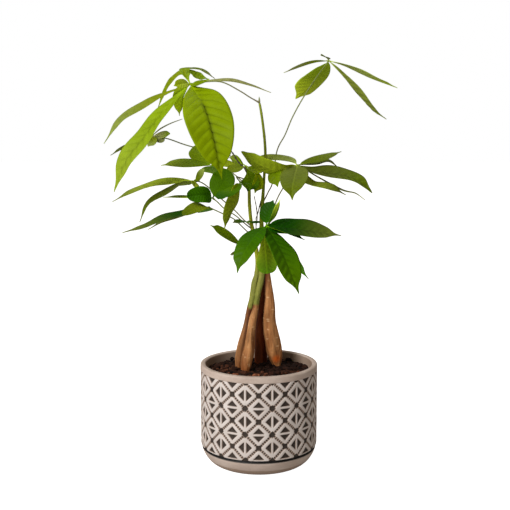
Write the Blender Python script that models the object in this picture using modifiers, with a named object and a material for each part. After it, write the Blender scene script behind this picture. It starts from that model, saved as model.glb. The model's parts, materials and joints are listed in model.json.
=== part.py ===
"""Potted money tree: four trunks in one round ceramic pot with a carved lattice.

Each trunk runs up into a thin green stem, and the stems carry compound leaves: a long thin stalk
that ends in a hub, with leaflets spread round the hub like fingers. Sizes are in millimetres and
are turned into metres where the meshes are made. +Z is up, -Y is the front, and the origin is
the middle of the pot's flat base.
"""

import math

import bmesh
import bpy
import numpy as np
from mathutils import Vector

MM = 0.001
WELD = 1e-6  # metres

# Pot
POT_RADIUS = 60.0
POT_HEIGHT = 103.0
POT_WALL = 5.5
POT_FLOOR = 7.0
BASE_RADIUS = 44.0
BASE_ROUNDING = 23.0
BASE_FULLNESS = 1.8
BASE_STEPS = 6
BASE_CROWDING = 1.6
RIM_ROUNDING = 1.8
INNER_CORNER = 6.0
ARC_STEPS = 3

# Lattice carved into the pot's wall
COLUMNS = 28
ROW_STEP = 13.05
TOP_ROW = 84.4
FULL_ROWS = 5
LATTICE_TOP = 96.0
GROOVE_HEIGHT = 17.5
GROOVE_WIDTH = 1.8
GROOVE_SLOPE = 0.2
CARVING_DEPTH = 1.3
CUT_START = 1.0
SQUARE_HALF = 2.45
DIAMOND_HALF = 3.1
BAR_HALF = 1.25
TRIANGLE_TIP = 6.3
TRIANGLE_HALF = 5.0

# Soil
SOIL_TOP = 94.0
SOIL_GAP = 0.3
SOIL_RINGS = 7
SOIL_SPOKES = 36
SOIL_HEAP = 1.5
HEAP_RADIUS = 30.0
HOLE_GAP = 0.35
HOLE_TOP = 12.0

# Crossed waves that make the soil lumpy: height in mm, waves along x and y in radians a mm, shift.
SOIL_WAVES = (
    (0.45, 0.21, 0.17, 1.3),
    (0.45, 0.21, -0.17, 1.3),
    (0.54, 0.43, -0.31, 0.0),
    (0.45, 0.53, 0.37, 3.6),
)

# Stems and stalks
STALK_RADIUS = 0.65
SEAT_GAP = 0.35
HUB_RADIUS = 1.7
STEM_STEP = 8.0
STEM_SIDES = 10
STALK_STEPS = 10
STALK_SIDES = 6
ROUTE_STEPS = 400

# Leaflets
BLADE_THICKNESS = 0.8
BLADE_STATIONS = (0.0, 0.12, 0.26, 0.41, 0.56, 0.71, 0.85, 1.0)
BLADE_START = 0.9
BLADE_LEAST_WIDTH = 1.2
WIDEST_AT = 0.55
FOLD = 0.15
RIB_STEPS = 60
RIB_LOOK = 1.5

# Each stem's middle line from its root to its tip: x, y, z and the stem's radius there.
STEMS = {
    "stem_right": (
        (18.2, 16, 72, 3.2), (18.4, 16, 90, 3.6), (18.4, 16, 96, 4.6), (18.1, 16, 100, 6.0),
        (17.4, 15.6, 105, 7.4), (16.2, 15, 111, 8.3), (14.6, 13, 120, 8.3), (12.2, 11, 132, 7.6),
        (10.9, 9, 147, 6.2), (11.2, 5, 166, 4.4),
        (9.9, 3, 180, 3.6), (8.5, 1, 194, 2.8), (6.2, 3, 208, 2.3), (3.7, 4, 224, 2.0),
        (2.6, 3, 249, 1.8), (3.6, 1, 266, 1.6), (4.6, 0, 282, 1.3), (5.6, 0, 299, 1.2),
        (6.4, 0, 314, 1.2), (5.7, 0, 329, 1.15), (4.0, 0, 344, 1.1), (2.3, 0, 356, 1.05),
        (0.5, 0, 366, 1.0),
    ),
    "stem_front": (
        (-13.8, -10, 72, 2.8), (-13.8, -10, 91, 3.1), (-13.8, -9.8, 97, 4.3),
        (-13.4, -9.5, 102, 5.3), (-12.5, -9, 107, 5.8), (-10.9, -8, 113, 5.9),
        (-9.2, -6, 122, 5.3), (-8.0, -4, 134, 4.3), (-6.2, -2, 147, 3.9), (-3.4, 0, 159, 2.9),
        (-1.9, 0, 168, 2.4), (-0.6, -1, 176, 2.5), (1.5, -1, 185, 2.7), (3.2, -2, 195, 2.6),
        (3.6, -6, 210, 2.1), (4.6, -14, 226, 1.6), (6.0, -25, 238, 1.3),
    ),
    "stem_left": (
        (-20.6, 6, 72, 2.6), (-20.6, 6, 91, 2.9), (-20.4, 6, 97, 3.7), (-20, 6, 103, 4.5),
        (-18.9, 6, 110, 4.8), (-17.0, 5, 120, 4.6), (-13.8, 5, 132, 4.2), (-11.0, 6, 146, 3.7),
        (-8.9, 4, 159, 3.0), (-6.8, 2, 168, 2.8), (-5.6, 2, 176, 2.8), (-4.4, 2, 185, 2.8),
        (-1.9, 3, 194, 2.5),
        (-1.4, 4, 206, 2.0), (-2.9, 4, 219, 1.8), (-5.5, 2, 235, 1.7), (-8.0, 1, 248, 1.6),
        (-9.5, 0, 265, 1.5), (-9.9, 0, 282, 1.4), (-11.5, 0, 293, 1.2),
    ),
    "stem_back": (
        (1.8, 31, 72, 4.8), (2.0, 29, 92, 6.2), (2.2, 26, 108, 6.8), (1.8, 22, 127, 6.0),
        (2.2, 18, 146, 4.9), (3.6, 13, 162, 3.7), (5.0, 11, 179, 2.3), (5.6, 11, 193, 2.0),
        (6.8, 11, 209, 1.8), (8.8, 9, 228, 1.6), (10.3, 8, 246, 1.4),
    ),
}

# Each compound leaf: the stem that carries it, the route of its stalk from that stem's middle
# line to the hub, and its leaflets. A leaflet gives the points of its rib after the hub, the last
# of them its tip, then its width, the way in which its upper face looks and, where it isn't
# WIDEST_AT, how far along the blade it is widest. Last may come its fullness: below 1 it stays
# wide for longer and ends more bluntly.
LEAVES = {
    "leaf_top_left": {
        "stem": "stem_right",
        "stalk": ((0.5, 0, 366), (-9, -4, 371), (-19, -8, 377), (-36, -13, 385), (-54, -15, 385),
                  (-67, -15, 383)),
        "leaflets": (
            (((-52, -46, 361), (-42, -62, 330), (-34, -66, 292)),
             45, (0.1, -0.9, 0.4), 0.48, 1.4),
            (((-94, -22, 355), (-111, -30, 331), (-128, -34, 308), (-140, -33, 279)),
             27, (-0.5, -0.6, 0.5), 0.6, 0.87),
            (((-96, -8, 372), (-117, 2, 361), (-138, 12, 350), (-158, 18, 326)),
             22, (-0.6, -0.4, 0.7), 0.64),
            (((-76, 4, 396), (-88, 12, 388), (-95, 20, 378), (-104, 24, 360)),
             12, (-0.8, -0.4, 0.4), 0.68, 0.86),
            (((-78, -6, 373), (-79, 0, 353)), 15, (-0.6, -0.8, 0.1), 0.48, 1.2),
            (((-71, -24, 383), (-81, -34, 380)), 10, (0.3, -0.8, 0.4), 0.54, 0.8),
            (((-74, 6, 398), (-60, 18, 400), (-45, 30, 392)), 12, (0.1, 0, 1)),
            (((-70, 0, 395), (-62, 8, 393), (-51, 12, 390)), 12, (0.1, -0.7, 0.7), 0.72),
            (((-50, -10, 386), (-28, 0, 387), (-7, 10, 383), (12, 16, 377)),
             18, (0.1, -0.2, 0.9), 0.6),
            (((-55, -25, 383), (-47, -38, 386)), 11, (0, -0.7, 0.7), 0.38, 0.85),
        ),
    },
    "leaf_top_right": {
        "stem": "stem_right",
        "stalk": ((3.6, 1, 266), (9.4, 8, 277), (14.3, 18, 288), (18.4, 24, 318),
                  (26.7, 20, 335), (33.7, 14, 352), (44, 7, 371), (57, 2, 391), (69, 0, 407)),
        "leaflets": (
            (((65, 12, 400), (55, 28, 388), (38, 40, 372)), 30, (-0.3, 0.6, 0.8), 0.6, 0.8),
            (((55, -4, 405), (40, -10, 400), (24, -14, 394)), 12, (-0.4, 0.1, 0.9)),
            (((85, 2, 402), (110, 6, 391), (138, 8, 381)), 24, (0.4, 0, 0.9)),
            (((82, -8, 392), (95, -18, 375), (110, -22, 358), (123, -24, 349)),
             23, (0.8, 0.1, 0.7)),
            (((67, 10, 411), (62, 18, 414)), 9, (0.4, -0.1, 0.9)),
        ),
    },
    "leaf_right": {
        "stem": "stem_back",
        "stalk": ((10.3, 8, 246), (14, 5, 258), (18.5, 0, 271), (24, -8, 282), (31, -13, 294),
                  (38, -15, 305)),
        "leaflets": (
            (((60, -8, 310), (82, -2, 318)), 18, (-0.2, -0.3, 0.9), 0.45),
            (((55, 4, 306), (70, 10, 308), (83, 14, 300)), 15, (0.2, -0.2, 0.9)),
            (((53, -20, 299), (78, -24, 296), (96, -27, 290), (110, -28, 278)),
             29, (0.3, -0.4, 0.9), 0.53, 0.74),
            (((48, -34, 288), (69, -42, 283), (83, -44, 277)), 23, (0.1, -0.2, 1), 0.62),
            (((34, -42, 295), (31, -60, 284), (31, -64, 273)), 27, (-0.1, -0.6, 0.8), 0.5),
            (((31, -2, 309), (11, 14, 311), (-9, 22, 308)), 19, (-0.1, -0.3, 0.9), 0.62, 0.7),
            (((24, -24, 299), (10, -32, 302), (-4, -34, 308), (-17, -32, 318)),
             22, (0, 0.6, 0.8), 0.52, 0.7),
            (((17, -26, 299), (18, -36, 284)), 15, (-0.5, -0.6, 0.6), 0.7),
            (((58, -20, 293), (80, -26, 281), (93, -32, 278), (102, -36, 272)),
             7, (0.2, -0.1, 0.9)),
        ),
    },
    "leaf_centre": {
        "stem": "stem_left",
        "stalk": ((-11.5, 0, 293), (-12.5, -3, 299), (-13, -4, 304)),
        "leaflets": (
            (((-8, -14, 291), (-11, -20, 279)), 18, (0, -0.8, 0.6), 0.68),
            (((-1, -13, 294), (-4, -17, 277)), 12, (0.5, -0.5, 0.7), 0.7),
            (((-22, -8, 301), (-33, -10, 300)), 13, (-0.1, -0.6, 0.8), 0.55, 0.8),
            (((-21, 2, 308), (-30, 6, 312)), 14, (0.6, 0.6, 0.6)),
            (((-5, -8, 300), (3, -10, 297)), 11, (0.1, -0.6, 0.8), 0.5, 0.7),
        ),
    },
    "leaf_back": {
        "stem": "stem_left",
        "stalk": ((-9.9, 0, 281), (-18, 9, 289), (-30, 16, 298), (-47, 22, 304)),
        "leaflets": (
            (((-73, 18, 305), (-100, 16, 304)), 25, (0.1, -0.3, 0.9), 0.42),
            (((-57, 30, 312), (-71, 36, 320)), 19, (-0.2, -0.8, 0.5), 0.6, 0.5),
            (((-30, 32, 304), (-18, 44, 303)), 22, (0.2, -0.3, 0.9)),
            (((-49, 52, 297), (-44, 84, 292)), 26, (0, 0.2, 1)),
        ),
    },
    "leaf_hanging": {
        "stem": "stem_left",
        "stalk": ((-10.6, 0, 287), (-15, 0.5, 290.5), (-20.5, -3, 292.5), (-22, -12, 292.5),
                  (-18, -22, 288)),
        "leaflets": (
            (((-27, -46, 280), (-38, -60, 274)), 20, (-0.3, -0.5, 0.8), 0.62, 0.6),
            (((-22, -36, 276), (-28, -44, 263), (-33, -46, 244)), 19, (-0.8, 0.5, 0.1), 0.42),
            (((-13, -30, 287), (-8, -34, 281)), 14, (0.3, -0.3, 0.8)),
        ),
    },
    "leaf_left_upper": {
        "stem": "stem_left",
        "stalk": ((-7.2, 1.3, 243), (-15, 4, 249), (-25, 7, 259), (-38, 9, 270), (-51, 6, 282),
                  (-58, 3, 287), (-65, 0, 289)),
        "leaflets": (
            (((-88, 8, 287), (-111, 12, 283), (-131, 14, 276), (-150, 15, 267)),
             26, (-0.3, -0.2, 0.9), 0.5),
            (((-78, -4, 286), (-94, -8, 276), (-110, -10, 266), (-119, -10, 248)),
             19, (-0.5, -0.3, 0.8), 0.5),
            (((-72, 30, 284), (-81, 62, 283)), 24, (-0.2, 0, 0.9)),
            (((-60, -6, 293), (-54, -10, 301)), 9, (-0.5, -0.8, 0.3), 0.5, 0.7),
            (((-63, -16, 286), (-61, -24, 281)), 9, (0.5, -0.6, 0.6)),
        ),
    },
    "leaf_left_middle": {
        "stem": "stem_left",
        "stalk": ((-6.4, 1.6, 240), (-13, -2, 245), (-23, -6, 254), (-35, -9, 262),
                  (-41, -10, 268), (-46, -10, 272)),
        "leaflets": (
            (((-54, -26, 276), (-69, -38, 275)), 17, (0.1, -0.9, 0.3), 0.5, 0.5),
            (((-69, -2, 272), (-97, 8, 272)), 15, (0, -0.1, 1)),
            (((-39, -14, 282), (-34, -18, 291), (-32, -20, 301)),
             28, (-0.2, -0.8, 0.4), 0.5, 0.55),
            (((-41, 12, 285), (-34, 44, 288)), 15, (0, -0.1, 1)),
        ),
    },
    "leaf_left_lower": {
        "stem": "stem_left",
        "stalk": ((-5.5, 2, 235), (-11.6, -3, 238), (-22.5, -8, 249), (-28, -11, 253),
                  (-36, -15, 257), (-50, -20, 264)),
        "leaflets": (
            (((-69, -30, 259), (-90, -44, 254), (-109, -52, 247), (-129, -56, 242)),
             24, (-0.2, -0.2, 0.9), 0.28, 0.8),
            (((-57, -34, 265), (-72, -48, 258)), 16, (0.3, -0.2, 0.9), 0.42, 0.5),
            (((-79, -26, 254), (-95, -24, 249), (-109, -22, 242)), 15, (-0.3, -0.1, 0.9)),
            (((-56, 2, 258), (-63, 24, 255)), 20, (0, 0.2, 1)),
        ),
    },
    "leaf_far_left": {
        "stem": "stem_left",
        "stalk": ((-10.7, 0, 289), (-12.5, 6, 297), (-21, 15, 308), (-38, 32, 317),
                  (-56, 42, 320), (-71, 44, 323), (-81, 44, 326), (-95, 38, 331), (-111, 34, 334)),
        "leaflets": (
            (((-104, 30, 334), (-91, 24, 336)), 9, (-0.3, -0.8, 0.5), 0.56, 0.65),
            (((-105, 28, 331), (-97, 26, 329)), 8, (-0.2, -0.8, 0.5), 0.66, 0.55),
            (((-103, 40, 341), (-93, 48, 347), (-81, 54, 352)), 6, (-0.3, -0.1, 0.9)),
            (((-129, 36, 326), (-143, 34, 320), (-154, 32, 314)), 13, (-0.4, -0.3, 0.8)),
            (((-109, 24, 328), (-113, 18, 323)), 11, (-0.3, -0.8, 0.5), 0.6, 0.75),
        ),
    },
    "leaf_front": {
        "stem": "stem_front",
        "stalk": ((6, -25, 238), (6.3, -30, 242), (7, -38, 247)),
        "leaflets": (
            (((-2, -56, 241), (-10, -72, 231), (-17, -80, 219), (-20, -82, 207)),
             23, (-0.3, -0.7, 0.7), 0.5),
            (((14, -56, 237), (23, -72, 222), (37, -84, 188)), 28, (0.5, -0.7, 0.6), 0.52),
            (((25, -44, 246), (44, -50, 244), (78, -54, 239)), 31, (0.1, -0.5, 0.9), 0.36),
            (((25, -54, 242), (43, -62, 236)), 16, (0.2, -0.1, 0.9)),
            (((9, -30, 259), (14, -26, 271)), 17, (-0.3, -0.8, 0.4), 0.5, 0.8),
            (((13, -44, 254), (17, -46, 263), (20, -48, 273)), 9, (-0.7, 0.5, 0.6)),
            (((6, -46, 232), (7, -50, 217), (8, -50, 202)), 20, (0.2, 0.9, 0.2), 0.78, 0.5),
            (((24, -38, 227), (39, -42, 206), (48, -44, 196)), 18, (0.8, 0.5, 0.5)),
        ),
    },
    "leaf_low_left": {
        "stem": "stem_left",
        "stalk": ((-4, 3.3, 226), (-9, -3, 223), (-16, -14, 225)),
        "leaflets": (
            (((-30, -24, 235), (-47, -32, 247)), 16, (0.7, -0.4, 0.6)),
            (((-21, -2, 219), (-28, 10, 212)), 12, (-0.4, 0.1, 0.9)),
        ),
    },
    "leaf_young": {
        "stem": "stem_left",
        "stalk": ((-8, 1, 248), (-11, -4, 248)),
        "leaflets": (
            (((-19, -11, 249), (-26, -16, 248)), 7, (0, -0.5, 0.8)),
            (((-5, -10, 248), (2, -15, 248)), 6, (0, -0.4, 0.9)),
        ),
    },
}


def clear_scene():
    """Removes whatever the file holds before the object is made."""
    for obj in list(bpy.data.objects):
        bpy.data.objects.remove(obj, do_unlink=True)


def new_collection(name):
    collection = bpy.data.collections.new(name)
    bpy.context.scene.collection.children.link(collection)
    return collection


def new_material(name, colour, roughness):
    material = bpy.data.materials.new(name)
    material.use_nodes = True
    shader = material.node_tree.nodes["Principled BSDF"]
    shader.inputs["Base Color"].default_value = (*colour, 1.0)
    shader.inputs["Roughness"].default_value = roughness
    shader.inputs["Metallic"].default_value = 0.0
    return material


def add_object(name, data, collection, material=None):
    obj = bpy.data.objects.new(name, data)
    collection.objects.link(obj)
    if material is not None:
        data.materials.append(material)
    return obj


def smooth_route(points, count):
    """A Catmull-Rom curve through the points, read at evenly spaced steps of its parameter."""
    points = np.asarray(points, float)
    before = 2 * points[0] - points[1]
    after = 2 * points[-1] - points[-2]
    padded = np.vstack([before, points, after])
    place = np.linspace(0, len(points) - 1, count)
    index = np.minimum(place.astype(int), len(points) - 2)
    part = (place - index)[:, None]
    a, b, c, d = (padded[index + shift] for shift in range(4))
    return 0.5 * (
        2 * b
        + (c - a) * part
        + (2 * a - 5 * b + 4 * c - d) * part**2
        + (3 * b - a - 3 * c + d) * part**3
    )


def tube(name, collection, route, radii, sides, material=None):
    """A curve object along the route in millimetres, with filled caps and a radius at each point."""
    curve = bpy.data.curves.new(name, "CURVE")
    curve.dimensions = "3D"
    curve.bevel_depth = MM
    curve.bevel_resolution = (sides - 4) // 2
    curve.use_fill_caps = True
    spline = curve.splines.new("POLY")
    spline.points.add(len(route) - 1)
    for point, place, radius in zip(spline.points, route, radii):
        point.co = (*(MM * np.asarray(place, float)), 1.0)
        point.radius = radius
    return add_object(name, curve, collection, material)


def as_mesh(obj, collection, material=None):
    """Replaces an object by a mesh of what it evaluates to, with the loose caps welded on."""
    graph = bpy.context.evaluated_depsgraph_get()
    mesh = bpy.data.meshes.new_from_object(obj.evaluated_get(graph))
    shape = bmesh.new()
    shape.from_mesh(mesh)
    bmesh.ops.remove_doubles(shape, verts=shape.verts, dist=WELD)
    bmesh.ops.recalc_face_normals(shape, faces=shape.faces)
    shape.to_mesh(mesh)
    shape.free()
    mesh.materials.clear()
    name, place = obj.name, obj.matrix_world.copy()
    bpy.data.objects.remove(obj, do_unlink=True)
    made = add_object(name, mesh, collection, material)
    made.matrix_world = place
    return made


def shade_round(obj, angle=40):
    obj.data.shade_smooth()
    obj.data.set_sharp_from_angle(angle=math.radians(angle))


def quarter(centre, reach, start):
    """Points of a quarter turn round a centre, as (radius, height), from an angle in degrees on."""
    for step in range(ARC_STEPS + 1):
        turn = math.radians(start + 90 * step / ARC_STEPS)
        yield centre[0] + reach * math.cos(turn), centre[1] + reach * math.sin(turn)


def pot_profile():
    """Half of the pot's section, from the middle of its floor, over the rim, to its base's middle."""
    inside = POT_RADIUS - POT_WALL
    crown = POT_HEIGHT - RIM_ROUNDING
    points = [(0.0, POT_FLOOR)]
    points += quarter((inside - INNER_CORNER, POT_FLOOR + INNER_CORNER), INNER_CORNER, -90)
    points += reversed(list(quarter((inside + RIM_ROUNDING, crown), RIM_ROUNDING, 90)))
    points += reversed(list(quarter((POT_RADIUS - RIM_ROUNDING, crown), RIM_ROUNDING, 0)))
    groove_top = GROOVE_HEIGHT + GROOVE_WIDTH / 2
    groove_bottom = GROOVE_HEIGHT - GROOVE_WIDTH / 2
    points.append((body_radius(groove_top), groove_top))
    points.append((body_radius(groove_top) - CARVING_DEPTH, groove_top - GROOVE_SLOPE))
    points.append((body_radius(groove_bottom) - CARVING_DEPTH, groove_bottom + GROOVE_SLOPE))
    for step in range(BASE_STEPS + 1):
        height = groove_bottom * (1 - step / BASE_STEPS) ** BASE_CROWDING
        points.append((body_radius(height), height))
    points.append((0.0, 0.0))
    return points


def body_radius(height):
    """The pot's outer radius, straight down to the rounding and then pulled in to the base."""
    fall = max(0.0, (BASE_ROUNDING - height) / BASE_ROUNDING)
    swell = (1 - fall**BASE_FULLNESS) ** (1 / BASE_FULLNESS)
    return BASE_RADIUS + (POT_RADIUS - BASE_RADIUS) * swell


def lattice_pockets():
    """The carved places as (column, outline), each outline in millimetres along and up the wall."""
    for column in range(COLUMNS):
        on_full = column % 2 == 0
        for row in range(FULL_ROWS + 2):
            height = TOP_ROW - (row - 1) * ROW_STEP
            square_here = (row % 2 == 1) == on_full
            if square_here and on_full:
                yield column, box_outline(height)
            elif square_here:
                yield column, clipped(diamond_outline(height))
            else:
                for outline in split_lozenge(height, upright=row % 2 == 1):
                    yield column, clipped(outline)


def box_outline(height):
    half = SQUARE_HALF
    low, high = height - half, height + half
    return [(-half, low), (half, low), (half, high), (-half, high)]


def diamond_outline(height):
    half = DIAMOND_HALF
    return [(0, height - half), (half, height), (0, height + half), (-half, height)]


def split_lozenge(height, upright):
    """The two dark triangles on either side of a lozenge's pale bar, which stands or lies."""
    for side in (-1, 1):
        base = side * BAR_HALF
        triangle = [(-TRIANGLE_HALF, base), (TRIANGLE_HALF, base), (0, side * TRIANGLE_TIP)]
        if upright:
            triangle = [(up, along) for along, up in triangle]
        yield [(along, height + up) for along, up in triangle]


def clipped(outline):
    """The outline without what lies above the lattice or below its groove, or None if it is gone."""
    lowest = GROOVE_HEIGHT + GROOVE_WIDTH
    for limit, sign in ((LATTICE_TOP, 1), (lowest, -1)):
        kept = []
        for (x0, z0), (x1, z1) in zip(outline, outline[1:] + outline[:1]):
            in0, in1 = sign * (limit - z0) >= 0, sign * (limit - z1) >= 0
            if in0:
                kept.append((x0, z0))
            if in0 != in1:
                part = (limit - z0) / (z1 - z0)
                kept.append((x0 + part * (x1 - x0), limit))
        outline = kept
    return outline if len(outline) > 2 else None


def lattice_cutter(collection):
    """One mesh of short prisms, each standing in through the wall at its own facet."""
    shape = bmesh.new()
    for column, outline in lattice_pockets():
        if outline is None:
            continue
        turn = math.radians(-90 + 360 * column / COLUMNS)
        outward = Vector((math.cos(turn), math.sin(turn), 0))
        along = Vector((-math.sin(turn), math.cos(turn), 0))
        corners = []
        for x, z in outline:
            place = along * x + outward * (POT_RADIUS + CUT_START) + Vector((0, 0, z))
            corners.append(shape.verts.new(place * MM))
        face = shape.faces.new(corners)
        block = bmesh.ops.extrude_face_region(shape, geom=[face])
        moved = [item for item in block["geom"] if isinstance(item, bmesh.types.BMVert)]
        inward = outward * (-(CUT_START + CARVING_DEPTH) * MM)
        bmesh.ops.translate(shape, vec=inward, verts=moved)
    bmesh.ops.recalc_face_normals(shape, faces=shape.faces)
    mesh = bpy.data.meshes.new("lattice_cutter")
    shape.to_mesh(mesh)
    shape.free()
    cutter = add_object("lattice_cutter", mesh, collection)
    cutter.hide_render = True
    cutter.display_type = "WIRE"
    return cutter


def make_pot(collection, cutters, material):
    """The turned pot, with one flat facet to each column of the lattice, and the lattice cut in."""
    stretch = 1 / math.cos(math.pi / COLUMNS)
    mesh = bpy.data.meshes.new("pot")
    points = [(radius * stretch * MM, 0, height * MM) for radius, height in pot_profile()]
    mesh.from_pydata(points, [(i, i + 1) for i in range(len(points) - 1)], [])
    pot = add_object("pot", mesh, collection, material)
    pot.rotation_euler.z = math.pi / COLUMNS
    screw = pot.modifiers.new("turned", "SCREW")
    screw.steps = screw.render_steps = COLUMNS
    screw.use_merge_vertices = True
    screw.merge_threshold = WELD
    cut = pot.modifiers.new("lattice", "BOOLEAN")
    cut.operation = "DIFFERENCE"
    cut.object = lattice_cutter(cutters)
    return pot


def soil_height(x, y):
    """The lumpy top of the soil: crossed waves of different lengths on a low heap in the middle."""
    height = SOIL_TOP + SOIL_HEAP * np.exp(-(x**2 + y**2) / HEAP_RADIUS**2)
    for lump, along_x, along_y, shift in SOIL_WAVES:
        height = height + lump * np.sin(along_x * x + along_y * y + shift)
    return height


def make_soil(collection, cutters, material):
    """A filling whose top is the lumpy surface, with a plain hole for each trunk."""
    side = POT_RADIUS - POT_WALL - SOIL_GAP
    bottom = POT_FLOOR + SOIL_GAP
    angles = np.arange(SOIL_SPOKES) * 2 * math.pi / SOIL_SPOKES
    radii = side * np.linspace(0, 1, SOIL_RINGS + 1)[1:]
    x = np.outer(radii, np.cos(angles))
    y = np.outer(radii, np.sin(angles))
    top = np.stack([x, y, soil_height(x, y)], -1).reshape(-1, 3)
    wall = side * np.stack([np.cos(angles), np.sin(angles), 0 * angles], -1)
    upper = wall + (0, 0, bottom + INNER_CORNER)
    lower = wall * (1 - INNER_CORNER / side) + (0, 0, bottom)
    middle_top = np.array([[0, 0, soil_height(0, 0)]])
    points = np.vstack([top, upper, lower, middle_top, [[0, 0, bottom]]])
    faces = []
    rings = SOIL_RINGS + 2
    for spoke in range(SOIL_SPOKES):
        following = (spoke + 1) % SOIL_SPOKES
        faces.append((len(points) - 2, spoke, following))
        for ring in range(rings - 1):
            start, end = ring * SOIL_SPOKES, (ring + 1) * SOIL_SPOKES
            faces.append((start + spoke, end + spoke, end + following, start + following))
        last = (rings - 1) * SOIL_SPOKES
        faces.append((last + spoke, len(points) - 1, last + following))
    mesh = bpy.data.meshes.new("soil")
    mesh.from_pydata((points * MM).tolist(), [], faces)
    soil = add_object("soil", mesh, collection, material)
    for name in STEMS:
        points, radii = stem_route(name)
        low = points[:, 2] < SOIL_TOP + HOLE_TOP
        hole = tube(name + "_hole", cutters, points[low], radii[low] + HOLE_GAP, STEM_SIDES)
        hole.data.splines[0].points[0].co.z -= HOLE_GAP * MM
        hole = as_mesh(hole, cutters)
        hole.hide_render = True
        hole.display_type = "WIRE"
        cut = soil.modifiers.new(name, "BOOLEAN")
        cut.operation = "DIFFERENCE"
        cut.object = hole
    return soil


def stem_route(name):
    """Points along a stem a few millimetres apart, and its radius at each."""
    rows = np.asarray(STEMS[name], float)
    length = np.linalg.norm(np.diff(rows[:, :3], axis=0), axis=1).sum()
    route = smooth_route(rows, int(length / STEM_STEP))
    return route[:, :3], route[:, 3]


def make_stem(name, collection, material):
    points, radii = stem_route(name)
    return tube(name, collection, points, radii, STEM_SIDES, material)


def stalk_route(leaf):
    """The stalk's points, from just clear of the stem that carries it to the hub."""
    fine = smooth_route(leaf["stalk"], ROUTE_STEPS)
    way = np.gradient(fine, axis=0)
    way /= np.linalg.norm(way, axis=1)[:, None]
    side = np.cross(way, (0.0, 1.0, 0.0))
    side /= np.linalg.norm(side, axis=1)[:, None]
    stem, radii = stem_route(leaf["stem"])
    gap = stem_gap(fine, stem, radii)
    for step in range(STALK_SIDES):
        turn = 2 * math.pi * step / STALK_SIDES
        rim = math.cos(turn) * side + math.sin(turn) * np.cross(way, side)
        gap = np.minimum(gap, stem_gap(fine + STALK_RADIUS * rim, stem, radii))
    start = int(np.argmax(gap > SEAT_GAP))
    picks = np.linspace(start, len(fine) - 1, STALK_STEPS).astype(int)
    return fine[picks]


def stem_gap(points, stem, radii):
    """How far each point lies from a stem, taken as short rods with flat ends."""
    start, way = stem[:-1], np.diff(stem, axis=0)
    length = np.linalg.norm(way, axis=1)
    way = way / length[:, None]
    reach = points[:, None] - start[None]
    along = (reach * way).sum(axis=2)
    beyond = along - np.clip(along, 0, length)
    aside = np.linalg.norm(reach - along[..., None] * way, axis=2)
    outside = np.maximum(aside - np.maximum(radii[:-1], radii[1:]), 0)
    return np.hypot(outside, beyond).min(axis=1)


def read_along(route, run, reach):
    """Points of a route at given distances from its start, where run holds each point's distance."""
    return np.stack([np.interp(reach, run, route[:, axis]) for axis in range(3)], axis=1)


def blade_surface(hub, rib, width, face, widest=WIDEST_AT, fullness=1.0):
    """Rows of three points across a leaflet: edge, rib and edge.

    The rib is a smooth curve from the hub through its points to the tip. The width swells along it
    and closes at the tip, slowly where the fullness is low, and both edges are lifted a little, so
    the blade is a shallow trough.
    """
    fine = smooth_route([hub, *rib], RIB_STEPS)
    run = np.concatenate([[0.0], np.cumsum(np.linalg.norm(np.diff(fine, axis=0), axis=1))])
    place = np.asarray(BLADE_STATIONS)
    reach = BLADE_START + place * (run[-1] - BLADE_START)
    middle = read_along(fine, run, reach)
    along = read_along(fine, run, reach + RIB_LOOK) - read_along(fine, run, reach - RIB_LOOK)
    along /= np.linalg.norm(along, axis=1)[:, None]
    up = np.asarray(face, float) - along * (along @ np.asarray(face, float))[:, None]
    up /= np.linalg.norm(up, axis=1)[:, None]
    across = np.cross(along, up)
    swell = (place / widest) ** (widest / (1 - widest)) * ((1 - place) / (1 - widest))
    half = np.maximum(width * swell**fullness, BLADE_LEAST_WIDTH)[:, None] / 2
    lift = FOLD * half * up
    return np.stack([middle - half * across + lift, middle, middle + half * across + lift], axis=1)


def make_leaflet(name, collection, hub, leaflet):
    """One blade: its surface with a wall, as a closed mesh."""
    rows = blade_surface(hub, *leaflet)
    count, wide = rows.shape[:2]
    faces = []
    for i in range(count - 1):
        for j in range(wide - 1):
            a, b = i * wide + j, (i + 1) * wide + j
            corners = (a, a + 1, b + 1, b)
            faces += [corners[:3], (corners[0], corners[2], corners[3])]
    mesh = bpy.data.meshes.new(name)
    mesh.from_pydata((rows.reshape(-1, 3) * MM).tolist(), [], faces)
    blade = add_object(name, mesh, collection)
    wall = blade.modifiers.new("wall", "SOLIDIFY")
    wall.thickness = BLADE_THICKNESS * MM
    wall.offset = 0
    return as_mesh(blade, collection)


def make_hub(name, collection, place):
    shape = bmesh.new()
    bmesh.ops.create_icosphere(shape, subdivisions=1, radius=HUB_RADIUS * MM)
    bmesh.ops.translate(shape, vec=Vector(place) * MM, verts=shape.verts)
    mesh = bpy.data.meshes.new(name)
    shape.to_mesh(mesh)
    shape.free()
    return add_object(name, mesh, collection)


def make_leaf(name, collection, material):
    """One compound leaf: the stalk, the hub and all its leaflets joined into one body."""
    leaf = LEAVES[name]
    hub = leaf["stalk"][-1]
    pieces = new_collection(name + "_pieces")
    for number, leaflet in enumerate(leaf["leaflets"], start=1):
        make_leaflet(f"{name}_{number}", pieces, hub, leaflet)
    make_hub(name + "_hub", pieces, hub)
    route = stalk_route(leaf)
    stalk = tube(name, collection, route, [STALK_RADIUS] * len(route), STALK_SIDES)
    joined = as_mesh(stalk, collection)
    union = joined.modifiers.new("joined", "BOOLEAN")
    union.operation = "UNION"
    union.operand_type = "COLLECTION"
    union.collection = pieces
    union.use_self = True
    joined = as_mesh(joined, collection, material)
    for piece in list(pieces.objects):
        bpy.data.objects.remove(piece, do_unlink=True)
    bpy.data.collections.remove(pieces)
    shade_round(joined)
    return joined


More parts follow.
